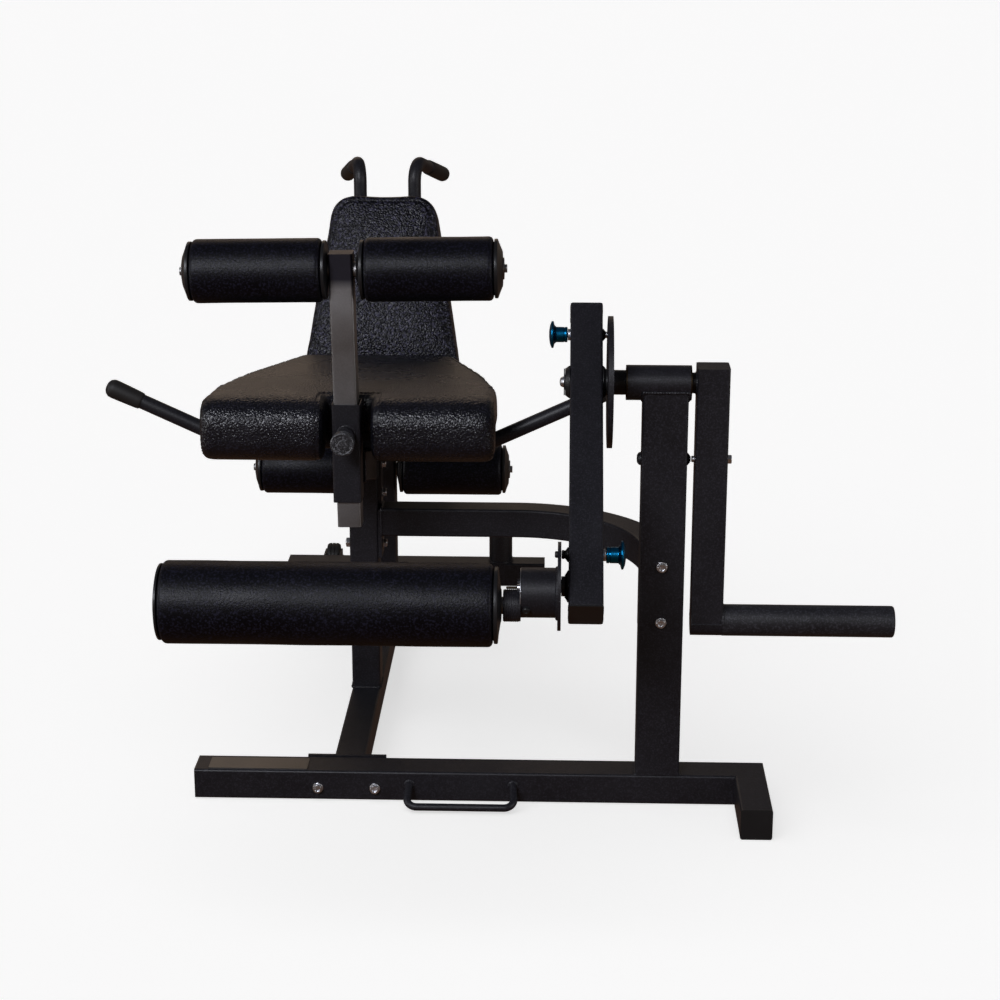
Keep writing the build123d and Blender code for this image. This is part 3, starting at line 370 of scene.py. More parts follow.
def lathe(profile, origin, axis, count=72, shape=None, loop=False):
    """A profile of (along, radius) turned round an axis. shape(angle, along, radius) may change the
    radius."""
    axis = Vector(axis).normalized()
    side = axis.orthogonal().normalized()
    up = axis.cross(side)
    verts, faces, rings = [], [], []
    for along, radius in profile:
        base = Vector(origin) + axis * along
        if radius < 1e-7:
            rings.append([len(verts)])
            verts.append(base)
            continue
        ring = []
        for k in range(count):
            angle = tau * k / count
            reach = shape(angle, along, radius) if shape else radius
            ring.append(len(verts))
            verts.append(base + (side * cos(angle) + up * sin(angle)) * reach)
        rings.append(ring)
    pairs = list(zip(rings, rings[1:]))
    if loop:
        pairs.append((rings[-1], rings[0]))
    for first, second in pairs:
        bridge(faces, first, second)
    return verts, faces


def soften(points, radius, loop=False):
    """Rounds the inner corners of a 2-D or 3-D line with short curves."""
    steps = 4
    points = [Vector(p) for p in points]
    count = len(points)
    out = []
    for i, point in enumerate(points):
        if not loop and i in (0, count - 1):
            out.append(point)
            continue
        before, after = points[i - 1], points[(i + 1) % count]
        cut_in = min(radius, (before - point).length * 0.45)
        cut_out = min(radius, (after - point).length * 0.45)
        a = point + (before - point).normalized() * cut_in
        b = point + (after - point).normalized() * cut_out
        for k in range(steps + 1):
            t = k / steps
            out.append(a * (1 - t) ** 2 + point * 2 * t * (1 - t) + b * t ** 2)
    return out


def turned(profile, radius, origin, axis, count=72, shape=None, loop=False):
    """A lathe piece from a profile in millimetres with softened corners."""
    points = soften([(a, r) for a, r in profile], radius, loop=loop)
    return lathe([(p[0] * MM, p[1] * MM) for p in points], origin, axis, count, shape, loop)


def spaced(path, step, loop=False):
    """Points at about equal steps along a line."""
    points = [Vector(p) for p in path]
    if loop:
        points.append(points[0])
    length = sum((b - a).length for a, b in zip(points, points[1:]))
    count = max(2, round(length / step))
    out, gap, done, target = [], length / count, 0.0, 0.0
    for a, b in zip(points, points[1:]):
        span = (b - a).length
        while span > 0 and target <= done + span + 1e-9 and len(out) < count + (not loop):
            out.append(a.lerp(b, min(1.0, (target - done) / span)))
            target += gap
        done += span
    return out


def sweep(path, radius, around, loop=False, sides=10):
    """A round tube along points. radius is a number or a function of the point's number."""
    verts, faces, rings = [], [], []
    count = len(path)
    for i, point in enumerate(path):
        before = path[i - 1] if loop or i else point
        after = path[(i + 1) % count] if loop or i < count - 1 else point
        along = (after - before).normalized()
        side = along.cross(around)
        side = side.normalized() if side.length > 1e-5 else along.orthogonal().normalized()
        up = side.cross(along)
        reach = radius(i) if callable(radius) else radius
        rings.append(range(len(verts), len(verts) + sides))
        verts.extend(point + (side * cos(tau * k / sides) + up * sin(tau * k / sides)) * reach
                     for k in range(sides))
    for first, second in zip(rings, rings[1:]):
        bridge(faces, first, second)
    if loop:
        bridge(faces, rings[-1], rings[0])
    else:
        for ring in (rings[0], rings[-1]):
            faces.append(tuple(ring))
    return verts, faces


def islands(node):
    """The separate solids of a CAD node, each as a list of its points."""
    work = bmesh.new()
    work.from_mesh(frame["nodes"][node].data)
    bmesh.ops.remove_doubles(work, verts=work.verts, dist=1e-5)
    left, groups = set(work.verts), []
    for start in work.verts:
        if start not in left:
            continue
        left.remove(start)
        stack, group = [start], []
        while stack:
            vert = stack.pop()
            group.append(vert.co.copy())
            for edge in vert.link_edges:
                other = edge.other_vert(vert)
                if other in left:
                    left.remove(other)
                    stack.append(other)
        groups.append(group)
    work.free()
    return groups


def extent(points, axis):
    """Lowest and highest place of the points along an axis."""
    places = [p.dot(axis) for p in points]
    return min(places), max(places)


def middle(points):
    return Vector([(min(p[i] for p in points) + max(p[i] for p in points)) / 2 for i in range(3)])


def span(node):
    """Low corner, high corner and middle of a CAD node."""
    low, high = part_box(node)
    return low, high, (low + high) / 2


JOINTS = {joint["name"]: joint for joint in frame["joints"]}


make_camera()
floor = make_floor()
make_backdrop()
make_world()
not_floor = bpy.data.collections.new("not_floor")
not_floor.objects.link(floor)
not_floor.collection_objects[0].light_linking.link_state = "EXCLUDE"
MIDDLE = (0.2, 0.2, 0.5)
SIDE_SIZE, SIDE_COLOUR = (0.7, 2.0), (0.95, 0.97, 1.0)
make_light("key", (-1.9, -4.9, 3.9), MIDDLE, (2.2, 1.5), 225.0, (0.9, 0.92, 1.0))
make_light("right_strip", (3.4, -1.6, 1.3), MIDDLE, SIDE_SIZE, 26.0, SIDE_COLOUR)
make_light("left_strip", (-3.4, -0.6, 1.3), MIDDLE, SIDE_SIZE, 26.0, SIDE_COLOUR)
make_light("back", (-0.8, 4.0, 2.4), MIDDLE, (2.4, 1.2), 7.4, (1.0, 0.75, 0.55))
scene.view_settings.view_transform = "Standard"


# ---------------------------------------------------------------- foam rollers and their caps
def axis_line(joint_name):
    joint = JOINTS[joint_name]
    return Vector(joint["pos_m"]), Vector(joint["axis"]).normalized()


def reach_from(points, origin, axis):
    """Largest distance of the points from a line."""
    return max(((p - origin) - axis * (p - origin).dot(axis)).length for p in points)


def foam_shape(points, origin, axis, seed):
    """Foam tube with rounded shoulders and a slightly uneven skin, in the space of the CAD foam."""
    start, end = extent(points, axis)
    zero = origin.dot(axis)
    radius, bore, shoulder, step = reach_from(points, origin, axis) - 0.5 * MM, 20.2 * MM, 7 * MM, 7 * MM
    start, end = start - zero + 0.4 * MM, end - zero - 0.4 * MM
    turn = [(1 - cos(pi / 2 * k / 7), sin(pi / 2 * k / 7)) for k in range(8)]
    rising = [(start + shoulder * a, radius - shoulder + shoulder * b) for a, b in turn]
    falling = [(end - shoulder * a, radius - shoulder + shoulder * b) for a, b in reversed(turn)]
    count = round((end - start - 2 * shoulder) / step)
    flat = [(start + shoulder + (end - start - 2 * shoulder) * k / count, radius)
            for k in range(1, count)]
    profile = [(start, bore)] + rising + flat + falling + [(end, bore)]

    def skin(angle, along, r):
        if r < radius - shoulder:
            return r
        spot = Vector((along * 14, cos(angle) * 1.3, sin(angle) * 1.3 + seed))
        return r + 0.45 * MM * noise.noise(spot)

    return lathe(profile, origin, axis, 128, skin, loop=True)


def cap_shape(points, foam, origin, axis):
    """Moulded cap: sleeve in the foam, a groove, a rounded rim and a dished cone."""
    outward = axis if middle(points).dot(axis) > middle(foam).dot(axis) else -axis
    zero = origin.dot(outward)
    seat = (extent(foam, outward)[1] - zero) / MM
    height = (extent(points, outward)[1] - zero) / MM - seat
    rim = reach_from(points, origin, axis) / MM - 0.2
    tip = [p for p in points if p.dot(outward) - zero > (seat + height - 0.3) * MM]
    nose = max(reach_from(tip, origin, axis) / MM, 20.0)
    bore, sleeve_r, sleeve, band = 12.7, 19.8, 26.0, min(5.0, 0.5 * height)
    profile = [(seat - sleeve, bore), (seat - sleeve, sleeve_r), (seat + 0.3, sleeve_r),
               (seat + 0.3, rim - 4.5), (seat + 1.1, rim - 4.0), (seat + 1.3, rim - 1.0),
               (seat + 1.9, rim), (seat + 1.3 + band, rim), (seat + 1.9 + band, rim - 1.2),
               (seat + band + 0.45 * (height - band), rim - 0.4 * (rim - nose)),
               (seat + height - 0.6, nose), (seat + height, nose - 1.0), (seat + height, 16.0),
               (seat + height - 0.8, 15.0), (seat + height - 0.8, bore)]
    profile = [(min(a, seat + height), r) for a, r in profile]
    return turned(profile, 0.6, origin, outward, 96, loop=True)


ROLLERS = (
    ("shin", "shin_roller", "shin_roller_caps", "shin_roller_spin", "shin_roller_body"),
    ("left_thigh", "left_thigh_roller", "left_thigh_roller_caps", "left_thigh_spin",
     "left_thigh_body"),
    ("right_thigh", "right_thigh_roller", "right_thigh_roller_caps", "right_thigh_spin",
     "right_thigh_body"),
    ("rear", "rear_rollers", "rear_roller_caps", "rear_roller_spin", "rear_roller_body"),
)


def make_roller(number, label, foam_node, caps_node, joint_name, body):
    origin, axis = axis_line(joint_name)
    foams = islands(foam_node)
    shapes = [foam_shape(foam, origin, axis, number * 7.3 + k) for k, foam in enumerate(foams)]
    for k, shape in enumerate(shapes):
        piece = add_piece(f"{label}_foam_{k}", shape, body, "roller_foam", (foam_node,), sharp=50)
    caps = []
    for cap in islands(caps_node):
        nearest = min(foams, key=lambda foam: (middle(foam) - middle(cap)).length)
        caps.append(cap_shape(cap, nearest, origin, axis))
    add_piece(f"{label}_caps", join(caps), body, "black_plastic", (caps_node,))


for number, roller in enumerate(ROLLERS):
    make_roller(number, *roller)


# ---------------------------------------------------------------- padded seat and backrest
def remeshed(node, name, voxel, passes):
    """Copy of a CAD solid as an even mesh with its edges rounded by smoothing."""
    rough = bpy.data.objects.new(name, frame["nodes"][node].data.copy())
    scene.collection.objects.link(rough)
    remesh = rough.modifiers.new("remesh", "REMESH")
    remesh.mode, remesh.voxel_size = "VOXEL", voxel
    even = bpy.data.meshes.new_from_object(rough.evaluated_get(bpy.context.evaluated_depsgraph_get()))
    rough.modifiers.clear()
    rough.data = even
    work = bmesh.new()
    work.from_mesh(even)
    for _ in range(passes):
        bmesh.ops.smooth_vert(work, verts=work.verts, factor=0.5, use_axis_x=True, use_axis_y=True,
                              use_axis_z=True)
    work.to_mesh(even)
    work.free()
    return rough


def thicken(pad, amount, held):
    """Moves the free faces of a pad outwards, to make up for what smoothing took off its edges."""
    mesh = pad.data
    normals = [v.normal.copy() for v in mesh.vertices]
    for vert, normal in zip(mesh.vertices, normals):
        if not held(vert.co):
            vert.co += normal * amount


CLOTH_FRAMES, CLOTH_PRESSURE, CLOTH_SMOOTHING = 20, 4.0, 8


def blown_up(pad, before, held):
    """Where each point of a pad gets to when it is blown up as cloth."""
    group = pad.vertex_groups.new(name="held")
    group.add([i for i, p in enumerate(before) if held(p)], 1.0, "REPLACE")
    cloth = pad.modifiers.new("swell", "CLOTH")
    settings = cloth.settings
    settings.use_pressure = True
    settings.uniform_pressure_force = CLOTH_PRESSURE
    settings.effector_weights.gravity = 0.0
    settings.vertex_group_mass = "held"
    cloth.point_cache.frame_start, cloth.point_cache.frame_end = 1, CLOTH_FRAMES
    for number in range(1, CLOTH_FRAMES + 1):
        scene.frame_set(number)
    ready = pad.evaluated_get(bpy.context.evaluated_depsgraph_get())
    after = [v.co.copy() for v in ready.data.vertices]
    pad.modifiers.clear()
    scene.frame_set(1)
    return after


def swell(pad, held, cap):
    """Blows a pad up as cloth. held(point) is true where it can't move, cap(point) is the most it may
    move. The moves are scaled and smoothed, so that the crown is even."""
    mesh = pad.data
    before = [v.co.copy() for v in mesh.vertices]
    moves = [b - a for a, b in zip(before, blown_up(pad, before, held))]
    lengths = sorted(move.length for move in moves)
    typical = max(lengths[int(len(lengths) * 0.9)], 1e-6)
    scaled = [move * (cap(start) / typical / max(1.0, move.length / typical))
              for start, move in zip(before, moves)]
    near = [[] for _ in before]
    for edge in mesh.edges:
        first, second = edge.vertices
        near[first].append(second)
        near[second].append(first)
    for _ in range(CLOTH_SMOOTHING):
        scaled = [scaled[i] * 0.4 + sum((scaled[k] for k in others), Vector()) * (0.6 / len(others))
                  for i, others in enumerate(near)]
    for vert, start, move in zip(mesh.vertices, before, scaled):
        vert.co = start + move


def subdivided(pad):
    """Splits each face of a pad in four, smoothly."""
    divide = pad.modifiers.new("divide", "SUBSURF")
    divide.levels = divide.render_levels = 1
    fine = bpy.data.meshes.new_from_object(pad.evaluated_get(bpy.context.evaluated_depsgraph_get()))
    pad.modifiers.clear()
    pad.data = fine
    fine.shade_smooth()


def cast(tree, start, way):
    """Where a ray meets a pad, and the way its surface faces there."""
    spot, normal = tree.ray_cast(start, way)[:2]
    return (spot, normal) if spot is not None else None


def groove(pad, line, depth, width):
    """Presses a narrow channel into a pad along the line of a seam."""
    tree = KDTree(len(line))
    for i, (spot, _) in enumerate(line):
        tree.insert(spot, i)
    tree.balance()
    mesh = pad.data
    normals = [v.normal.copy() for v in mesh.vertices]
    for vert, normal in zip(mesh.vertices, normals):
        gap = tree.find(vert.co)[2]
        if gap < width * 3:
            vert.co -= normal * depth * exp(-(gap / width) ** 2)


def tree_of(pad):
    """What rays are cast against to find the surface of a pad."""
    mesh = pad.data
    return BVHTree.FromPolygons([v.co for v in mesh.vertices], [p.vertices for p in mesh.polygons])


STITCH_PITCH, STITCH_LENGTH, STITCH_R, STITCH_ASIDE = 6.5 * MM, 4.2 * MM, 0.5 * MM, 3.4 * MM


def stitches(line, sideways):
    """Short threads beside a seam, each a little arc that dips into the vinyl at both ends."""
    points = [spot for spot, _ in line]
    shapes, run, target = [], 0.0, 0.0
    for i in range(1, len(points) - 1):
        run += (points[i] - points[i - 1]).length
        if run < target:
            continue
        target += STITCH_PITCH
        normal = line[i][1]
        along = (points[i + 1] - points[i - 1]).normalized()
        beside = along.cross(normal).normalized()
        centre = points[i] + beside * sideways
        arc = [centre + along * (t * STITCH_LENGTH) + normal * (STITCH_R * (0.45 - 6.8 * abs(t) ** 2.5))
               for t in (-0.5, -0.3, 0.0, 0.3, 0.5)]
        shapes.append(sweep(arc, STITCH_R, normal, False, 6))
    return join(shapes)


def outline_inside(points, inset):
    """Ordered outline of scattered plan points (x, y), moved inwards."""
    centre = Vector((sum(p[0] for p in points) / len(points), sum(p[1] for p in points) / len(points)))
    ordered = sorted((Vector(p) for p in points), key=lambda p: (p - centre).angle_signed(Vector((0, -1))))
    kept = [ordered[0]]
    for p in ordered[1:]:
        if (p - kept[-1]).length > 2 * MM:
            kept.append(p)
    out = []
    for i, p in enumerate(kept):
        before, after = kept[i - 1], kept[(i + 1) % len(kept)]
        way = (after - before).normalized()
        side = Vector((way.y, -way.x))
        if side.dot(p - centre) < 0:
            side = -side
        out.append(p - side * inset)
    return out


VOXEL, THICKEN = 5 * MM, 2.2 * MM
SEAT_CAP, SLOT_CAP, BACK_CAP = 5 * MM, 1.5 * MM, 6 * MM
SEAM_INSET, SEAM_STEP, SEAM_WIDTH = 11 * MM, 2 * MM, 2.4 * MM
SEAT_SEAM_DEPTH, BACK_SEAM_DEPTH = 1.3 * MM, 1.9 * MM
SLOT_HALF, SLOT_END = 37 * MM, 152 * MM
SEAT_SLOPE, BACK_LEAN = radians(5.6), radians(20)
UNDER_NOSE, OVER_NOSE = 265, 92

seat_points = [v.co.copy() for v in frame["nodes"]["seat_pad"].data.vertices]
seat_low, seat_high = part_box("seat_pad")
nose_r = (seat_high.z - seat_low.z) / 2
nose_y, nose_z = seat_low.y + nose_r, seat_low.z + nose_r
seat_down = Vector((0, -sin(SEAT_SLOPE), -cos(SEAT_SLOPE)))
seat_floor = max(p.dot(seat_down) for p in seat_points if p.y > nose_y + 2 * nose_r)
seat_top = max(p.dot(-seat_down) for p in seat_points)


def near_slot(p, margin, margin_end):
    """Whether a point is in the slot of the seat or within a margin of it."""
    return abs(p.x) < SLOT_HALF + margin and p.y < SLOT_END + margin_end


def seat_held(p):
    return p.y > nose_y + 0.9 * nose_r and p.dot(seat_down) > seat_floor - 3 * MM


def seat_cap(p):
    return SLOT_CAP if near_slot(p, 12 * MM, 12 * MM) else SEAT_CAP


def slot_or_floor(p):
    return seat_held(p) or near_slot(p, 6 * MM, 6 * MM)


seat = remeshed("seat_pad", "seat_cushion", VOXEL, 14)
thicken(seat, THICKEN, slot_or_floor)
swell(seat, seat_held, seat_cap)
subdivided(seat)
seat_tree = tree_of(seat)


def over_nose(x, first, last):
    """Line over the rolled front of the seat at one x, from angle first to last (degrees from +Y)."""
    steps, out = 90, []
    for k in range(steps + 1):
        angle = radians(first + (last - first) * k / steps)
        way = Vector((0, cos(angle), sin(angle)))
        hit = cast(seat_tree, Vector((x, nose_y, nose_z)) + way * 0.12, -way)
        if hit:
            out.append(hit)
    return out


def seam_between_noses(x, plan):
    """Seam up over the nose at x, along the plan on the top and down over the nose at -x."""
    hits = [cast(seat_tree, Vector((p.x, p.y, seat_high.z + 0.05)), -Z) for p in plan]
    return (over_nose(x, UNDER_NOSE, OVER_NOSE) + [hit for hit in hits if hit]
            + over_nose(-x, OVER_NOSE, UNDER_NOSE))


def edge_plan():
    """Plan of the seam inside the outline of the seat's top, from the right nose to the left."""
    top = [(p.x, p.y) for p in seat_points
           if p.y > nose_y and p.dot(-seat_down) > seat_top - 1 * MM and not near_slot(p, 18 * MM, 10 * MM)]
    edge = [p for p in outline_inside(top, SEAM_INSET) if p.y > nose_y + 5 * MM]
    right = sorted([p for p in edge if p.x > 0], key=lambda p: p.y)
    left = sorted([p for p in edge if p.x <= 0], key=lambda p: -p.y)
    return spaced([Vector((p.x, p.y, 0)) for p in right + left], SEAM_STEP)


def slot_plan():
    """Plan of the seam round the slot."""
    x, end = SLOT_HALF + SEAM_INSET, SLOT_END + SEAM_INSET
    corners = [Vector((x, nose_y, 0)), Vector((x, end, 0)), Vector((-x, end, 0)), Vector((-x, nose_y, 0))]
    return spaced(soften(corners, 12 * MM), SEAM_STEP)


plan = edge_plan()
seams = [seam_between_noses(max(p.x for p in plan), plan),
         seam_between_noses(SLOT_HALF + SEAM_INSET, slot_plan())]
for line in seams:
    groove(seat, line, SEAT_SEAM_DEPTH, SEAM_WIDTH)

back_front = Vector((0, -cos(BACK_LEAN), sin(BACK_LEAN)))
back_up = Vector((0, sin(BACK_LEAN), cos(BACK_LEAN)))
back_points = [v.co.copy() for v in frame["nodes"]["backrest_pad"].data.vertices]
rest_depth, face_depth = extent(back_points, back_front)


def back_held(p):
    return p.dot(back_front) < rest_depth + 4 * MM


def back_seam(tree):
    """Seam inside the outline of the backrest's face."""
    face = [(p.x, p.dot(back_up)) for p in back_points if p.dot(back_front) > face_depth - 1 * MM]
    ring = spaced([Vector((p.x, p.y, 0)) for p in outline_inside(face, SEAM_INSET)], SEAM_STEP, loop=True)
    hits = [cast(tree, X * p.x + back_up * p.y + back_front * (face_depth + 0.05), -back_front)
            for p in ring]
    return [hit for hit in hits if hit]


back = remeshed("backrest_pad", "back_cushion", VOXEL, 12)
thicken(back, THICKEN, back_held)
swell(back, back_held, lambda p: BACK_CAP)
subdivided(back)
back_line = back_seam(tree_of(back))
groove(back, back_line, BACK_SEAM_DEPTH, SEAM_WIDTH)

for pad, node, look in ((seat, "seat_pad", "vinyl"), (back, "backrest_pad", "back_vinyl")):
    pad.data.materials.clear()
    pad.data.materials.append(FINISHES[look])
    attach(pad, "frame")
    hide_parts(node)
threads = [stitches(seams[0], -STITCH_ASIDE), stitches(seams[1], STITCH_ASIDE),
           stitches(back_line, STITCH_ASIDE)]
add_piece("pad_stitching", join(threads), "frame", "vinyl", sharp=60)


# ---------------------------------------------------------------- knobs
def anodised_knob(name, node, body):
    """Blue pull knob: a grooved barrel with a thin flange and a domed end."""
    low, high, centre = span(node)
    outward = X if centre.x > span("roller_arm")[2].x else -X
    base = Vector((low.x if outward.x > 0 else high.x, centre.y, centre.z))
    length, flange = (high.x - low.x) / MM, (high.z - low.z) / 2 / MM
    barrel = 0.57 * flange
    profile = [(0, 5.0), (0, barrel - 1.2), (0.8, barrel), (4.0, barrel), (4.5, barrel - 0.7),
               (5.5, barrel - 0.7), (6.0, barrel), (length - 11.5, barrel), (length - 9.5, barrel + 2.0),
               (length - 8.6, barrel + 2.6), (length - 7.6, flange - 2.0), (length - 7.0, flange),
               (length - 4.2, flange), (length - 3.2, flange - 2.4), (length - 1.5, 0.66 * flange),
               (length - 0.5, 0.34 * flange), (length - 0.2, 3.2), (length - 1.4, 2.6), (length - 1.4, 0)]
    add_piece(name, turned(profile, 0.7, base, outward, 96), body, "blue_anodised", (node,))


anodised_knob("upper_blue_knob", "upper_pin_knob", "upper_pin")
anodised_knob("lower_blue_knob", "lower_pin_knob", "lower_pin")


def knurled_knob():
    """Round pull knob facing the front, with a diamond-cut edge and a dished face."""
    low, high, centre = span("hold_down_pin_knob")
    radius, length, teeth = (high.x - low.x) / 2 / MM, (high.y - low.y) / MM, 40
    profile = [(0, 5.2), (0, radius - 2.5), (1.5, radius)] + [
        (1.5 + (length - 3) * k / 8, radius) for k in range(1, 9)] + [
        (length - 0.3, radius - 1.6), (length - 0.3, radius - 3.2), (length - 1.3, radius - 4.2),
        (length - 1.3, 7.0), (length - 0.5, 6.2), (length - 0.3, 0)]

    def cut(angle, along, r):
        if r < (radius - 0.7) * MM:
            return r
        twist = along / (length * MM) * 0.5
        ridge = abs(sin((angle + twist) * teeth / 2)) + abs(sin((angle - twist) * teeth / 2))
        return r - 0.55 * MM * (1 - ridge / 2)

    base = Vector((centre.x, high.y, centre.z))
    shape = turned(profile, 0.25, base, -Y, 240, cut)
    knob = add_piece("hold_down_knob", shape, "hold_down_pin", "black_plastic", ("hold_down_pin_knob",),
                     40)
    knob.data.materials[0] = FINISHES["knurling"]
    studs = []
    for k in range(20):
        angle = tau * k / 20
        spot = base - Y * (length - 1.3) * MM + Vector((cos(angle), 0, sin(angle))) * 11.0 * MM
        studs.append(turned([(-0.3, 0), (-0.3, 1.1), (0.55, 0.8), (0.7, 0)], 0.2, spot, -Y, 10))
    add_piece("hold_down_knob_studs", join(studs), "hold_down_pin", "black_plastic")


knurled_knob()


# ---------------------------------------------------------------- bolts
BOLT_HEAD, BOLT_WASHER, BOLT_FLAT, NUT_FLAT = 6.0, 1.5, 13.5, 16.0
STOP_BOLT_LENGTH, STOP_BOLT_SIDE = 80 * MM, 0.2


def hexagon_reach(flat):
    """Limits a turned shape to a hexagon that is flat millimetres across."""
    def reach(angle, along, r):
        return min(r, flat * MM / 2 / cos(angle % (pi / 3) - pi / 6))
    return reach


def bolt_shape(points, heads):
    """A bolt in the place of a CAD bolt. heads is the direction its head faces."""
    centre = middle(points)
    base = centre - heads * centre.dot(heads)
    bottom, top = (place / MM for place in extent(points, heads))
    under = top - BOLT_HEAD
    return join([
        turned([(under - BOLT_WASHER, 0), (under - BOLT_WASHER, 8.2), (under - 0.3, 8.6), (under, 8.0),
                (under, 0)], 0.3, base, heads, 48),
        turned([(under, 0), (under, 7.6), (under, 7.8), (top - 1.6, 7.8), (top - 0.3, 6.5), (top - 0.3, 4.3),
                (top - 0.8, 3.8), (top - 4.2, 3.6), (top - 4.2, 0)], 0.15, base, heads, 72,
               hexagon_reach(BOLT_FLAT)),
        turned([(bottom, 0), (bottom, 4.0), (bottom + 1.0, 5.0), (under - 1, 5.0), (under - 1, 0)], 0.2,
               base, heads, 24),
    ]), base, bottom


def nut_shape(base, heads, start):
    """Hexagon nut on a bolt, from a place along it in millimetres."""
    return turned([(start, 5.0), (start, 7.6), (start + 1.4, 9.2), (start + 6.6, 9.2), (start + 8.0, 7.6),
                   (start + 8.0, 5.0)], 0.15, base, heads, 72, hexagon_reach(NUT_FLAT), loop=True)


def make_bolts(node, heads, tail, name):
    """Bolts and nuts in the place of a CAD node's. tail is how far a bolt stands past its nut."""
    shapes = []
    for points in islands(node):
        low, high = extent(points, X)
        if heads.x and high - low > STOP_BOLT_LENGTH:
            continue
        bolt, base, bottom = bolt_shape(points, heads)
        shapes += [bolt, nut_shape(base, heads, bottom + tail)]
    add_piece(name, join(shapes), "frame", "zinc_steel", (node,), 30)


def make_stop_bolt():
    """Black bolt through the upright that stops the weight arm, with a domed washer on each side."""
    face, far = (place.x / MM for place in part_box("upright_post"))
    shapes = []
    for points in islands("side_bolts"):
        centre = middle(points)
        if centre.x < STOP_BOLT_SIDE:
            continue
        low, high = (place / MM for place in extent(points, X))
        base = Vector((0, centre.y, centre.z))
        shapes.append(turned([(low, 0), (low + 0.4, 5.5), (low + 2.0, 8.2), (face - 2.4, 10.2), (face, 10.6),
                              (face, 5.0), (high - 1, 5.0), (high, 4.2), (high, 0)], 0.5, base, X, 48))
        shapes.append(turned([(far, 5.0), (far, 10.6), (far + 1.2, 10.2), (far + 4.4, 6.6), (far + 5.0, 6.0),
                              (far + 5.0, 5.0)], 0.4, base, X, 48, loop=True))
    add_piece("stop_bolt", join(shapes), "frame", "frame_black")


make_bolts("frame_bolts", -Y, 3.0, "hex_bolts")
make_bolts("side_bolts", X, 1.0, "seat_post_bolts")
make_stop_bolt()


# ---------------------------------------------------------------- rubber grips
def principal_axis(points):
    """Direction along which the points reach furthest, found by repeated multiplication."""
    centre = middle(points)
    way = Vector((0.4, 0.7, 0.59))
    for _ in range(60):
        total = Vector((0, 0, 0))
        for p in points:
            d = p - centre
            total += d * d.dot(way)
        way = total.normalized()
    return centre, way


def grip_shape(points, taper):
    """Rubber grip that grows by taper millimetres towards its domed end."""
    centre, way = principal_axis(points)
    if (way.x * centre.x if abs(way.x) > 0.7 else way.y) < 0:
        way = -way
    low, high = extent(points, way)
    zero = centre.dot(way)
    low, high = (low - zero) / MM, (high - zero) / MM
    radius = reach_from(points, centre, way) / MM
    root = radius - taper
    dome = [(high - radius * 0.8 * (1 - sin(a)), root + (radius - root) * 0.9 - radius * (1 - cos(a)) * 0.9)
            for a in [pi / 2 * k / 7 for k in range(7)]]
    dome = [(a, max(r, 0.5)) for a, r in dome]
    count, dome_start = 10, high - radius * 0.8
    body = [(low + 4 + (dome_start - low - 4) * k / count,
             root + (radius - root) * (k / count) ** 0.7) for k in range(count)]
    bore = radius - 3.4
    profile = [(low, bore), (low, root - 1.6), (low + 1.2, root - 0.5)] + body + dome + [(high, 0)]
    return turned(profile, 1.2, centre, way, 64)


SIDE_GRIP_TOP = 0.7
grips = [grip_shape(points, 1.6 if middle(points).z < SIDE_GRIP_TOP else 0.5)
         for points in islands("rubber_grips")]
add_piece("hand_grips", join(grips), "frame", "grip_rubber", ("rubber_grips",), 50)


# ---------------------------------------------------------------- transport wheels
def wheel_shape(points, hub):
    """Rubber wheel with a grooved tread and a hollow on each side."""
    low, high = (place / MM for place in extent(points, X))
    radius, centre = reach_from(points, hub, X) / MM, (low + high) / 2
    half_tread = ((-9, 0.3), (-5, 0.1), (-4.4, 1.6), (-3.2, 1.6), (-2.6, 0.1))
    tread = half_tread + tuple((-w, d) for w, d in reversed(half_tread))
    face = ((1, 5.1), (1, 9.5), (3, 10.5), (3, radius - 8), (0, radius - 7), (0, radius - 3))
    profile = ([(low + w, r) for w, r in face] + [(centre + w, radius - d) for w, d in tread]
               + [(high - w, r) for w, r in reversed(face)])
    return turned(profile, 0.5, hub, X, 96, loop=True)


wheel_centre = axis_line("wheel_spin")[0]
wheel_hub = Vector((0, wheel_centre.y, wheel_centre.z))
wheels = [wheel_shape(points, wheel_hub) for points in islands("transport_wheels")]
add_piece("wheels_with_tread", join(wheels), "wheels", "grip_rubber", ("transport_wheels",))


# ---------------------------------------------------------------- weld beads
def ring_path(centre, u, v, half_u, half_v, corner):
    """Rounded rectangle, or a circle when the corner is as large as both halves."""
    path = []
    for su, sv, start in ((1, 1, 0), (-1, 1, 1), (-1, -1, 2), (1, -1, 3)):
        for k in range(9):
            angle = (start + k / 8) * pi / 2
            path.append(centre + u * (su * (half_u - corner) + corner * cos(angle))
                        + v * (sv * (half_v - corner) + corner * sin(angle)))
    return path


def drift(spot):
    """Noise along each axis, made from plain noise, which is the same in every run."""
    return Vector([noise.noise(spot + X * apart) for apart in (0.0, 31.7, 63.1)])


def bead(path, around, radius=2.5, loop=True, seed=0.0):
    """Rippled weld bead along a line."""
    step, pitch = 1.3 * MM, 4.4 * MM
    points = spaced([Vector((p.x, p.y, max(p.z, 3.2 * MM))) for p in path], step, loop)
    points = [p + drift(p * 160 + Vector((seed, 0, 0))) * 0.35 * MM for p in points]

    def thick(i):
        wave = abs(sin(pi * i * step / pitch))
        lump = noise.noise(Vector((i * 0.11, seed, 3.1)))
        return radius * MM * (0.8 + 0.22 * wave + 0.18 * lump)

    return sweep(points, thick, around, loop, 8)


TUBE_HALF, TUBE_CORNER = 25 * MM, 4 * MM


def square_bead(centre, u, v, along, seed, radius=2.3, half_u=TUBE_HALF, half_v=TUBE_HALF):
    """Bead round a square tube."""
    return bead(ring_path(centre, u, v, half_u, half_v, TUBE_CORNER), along, radius, seed=seed)


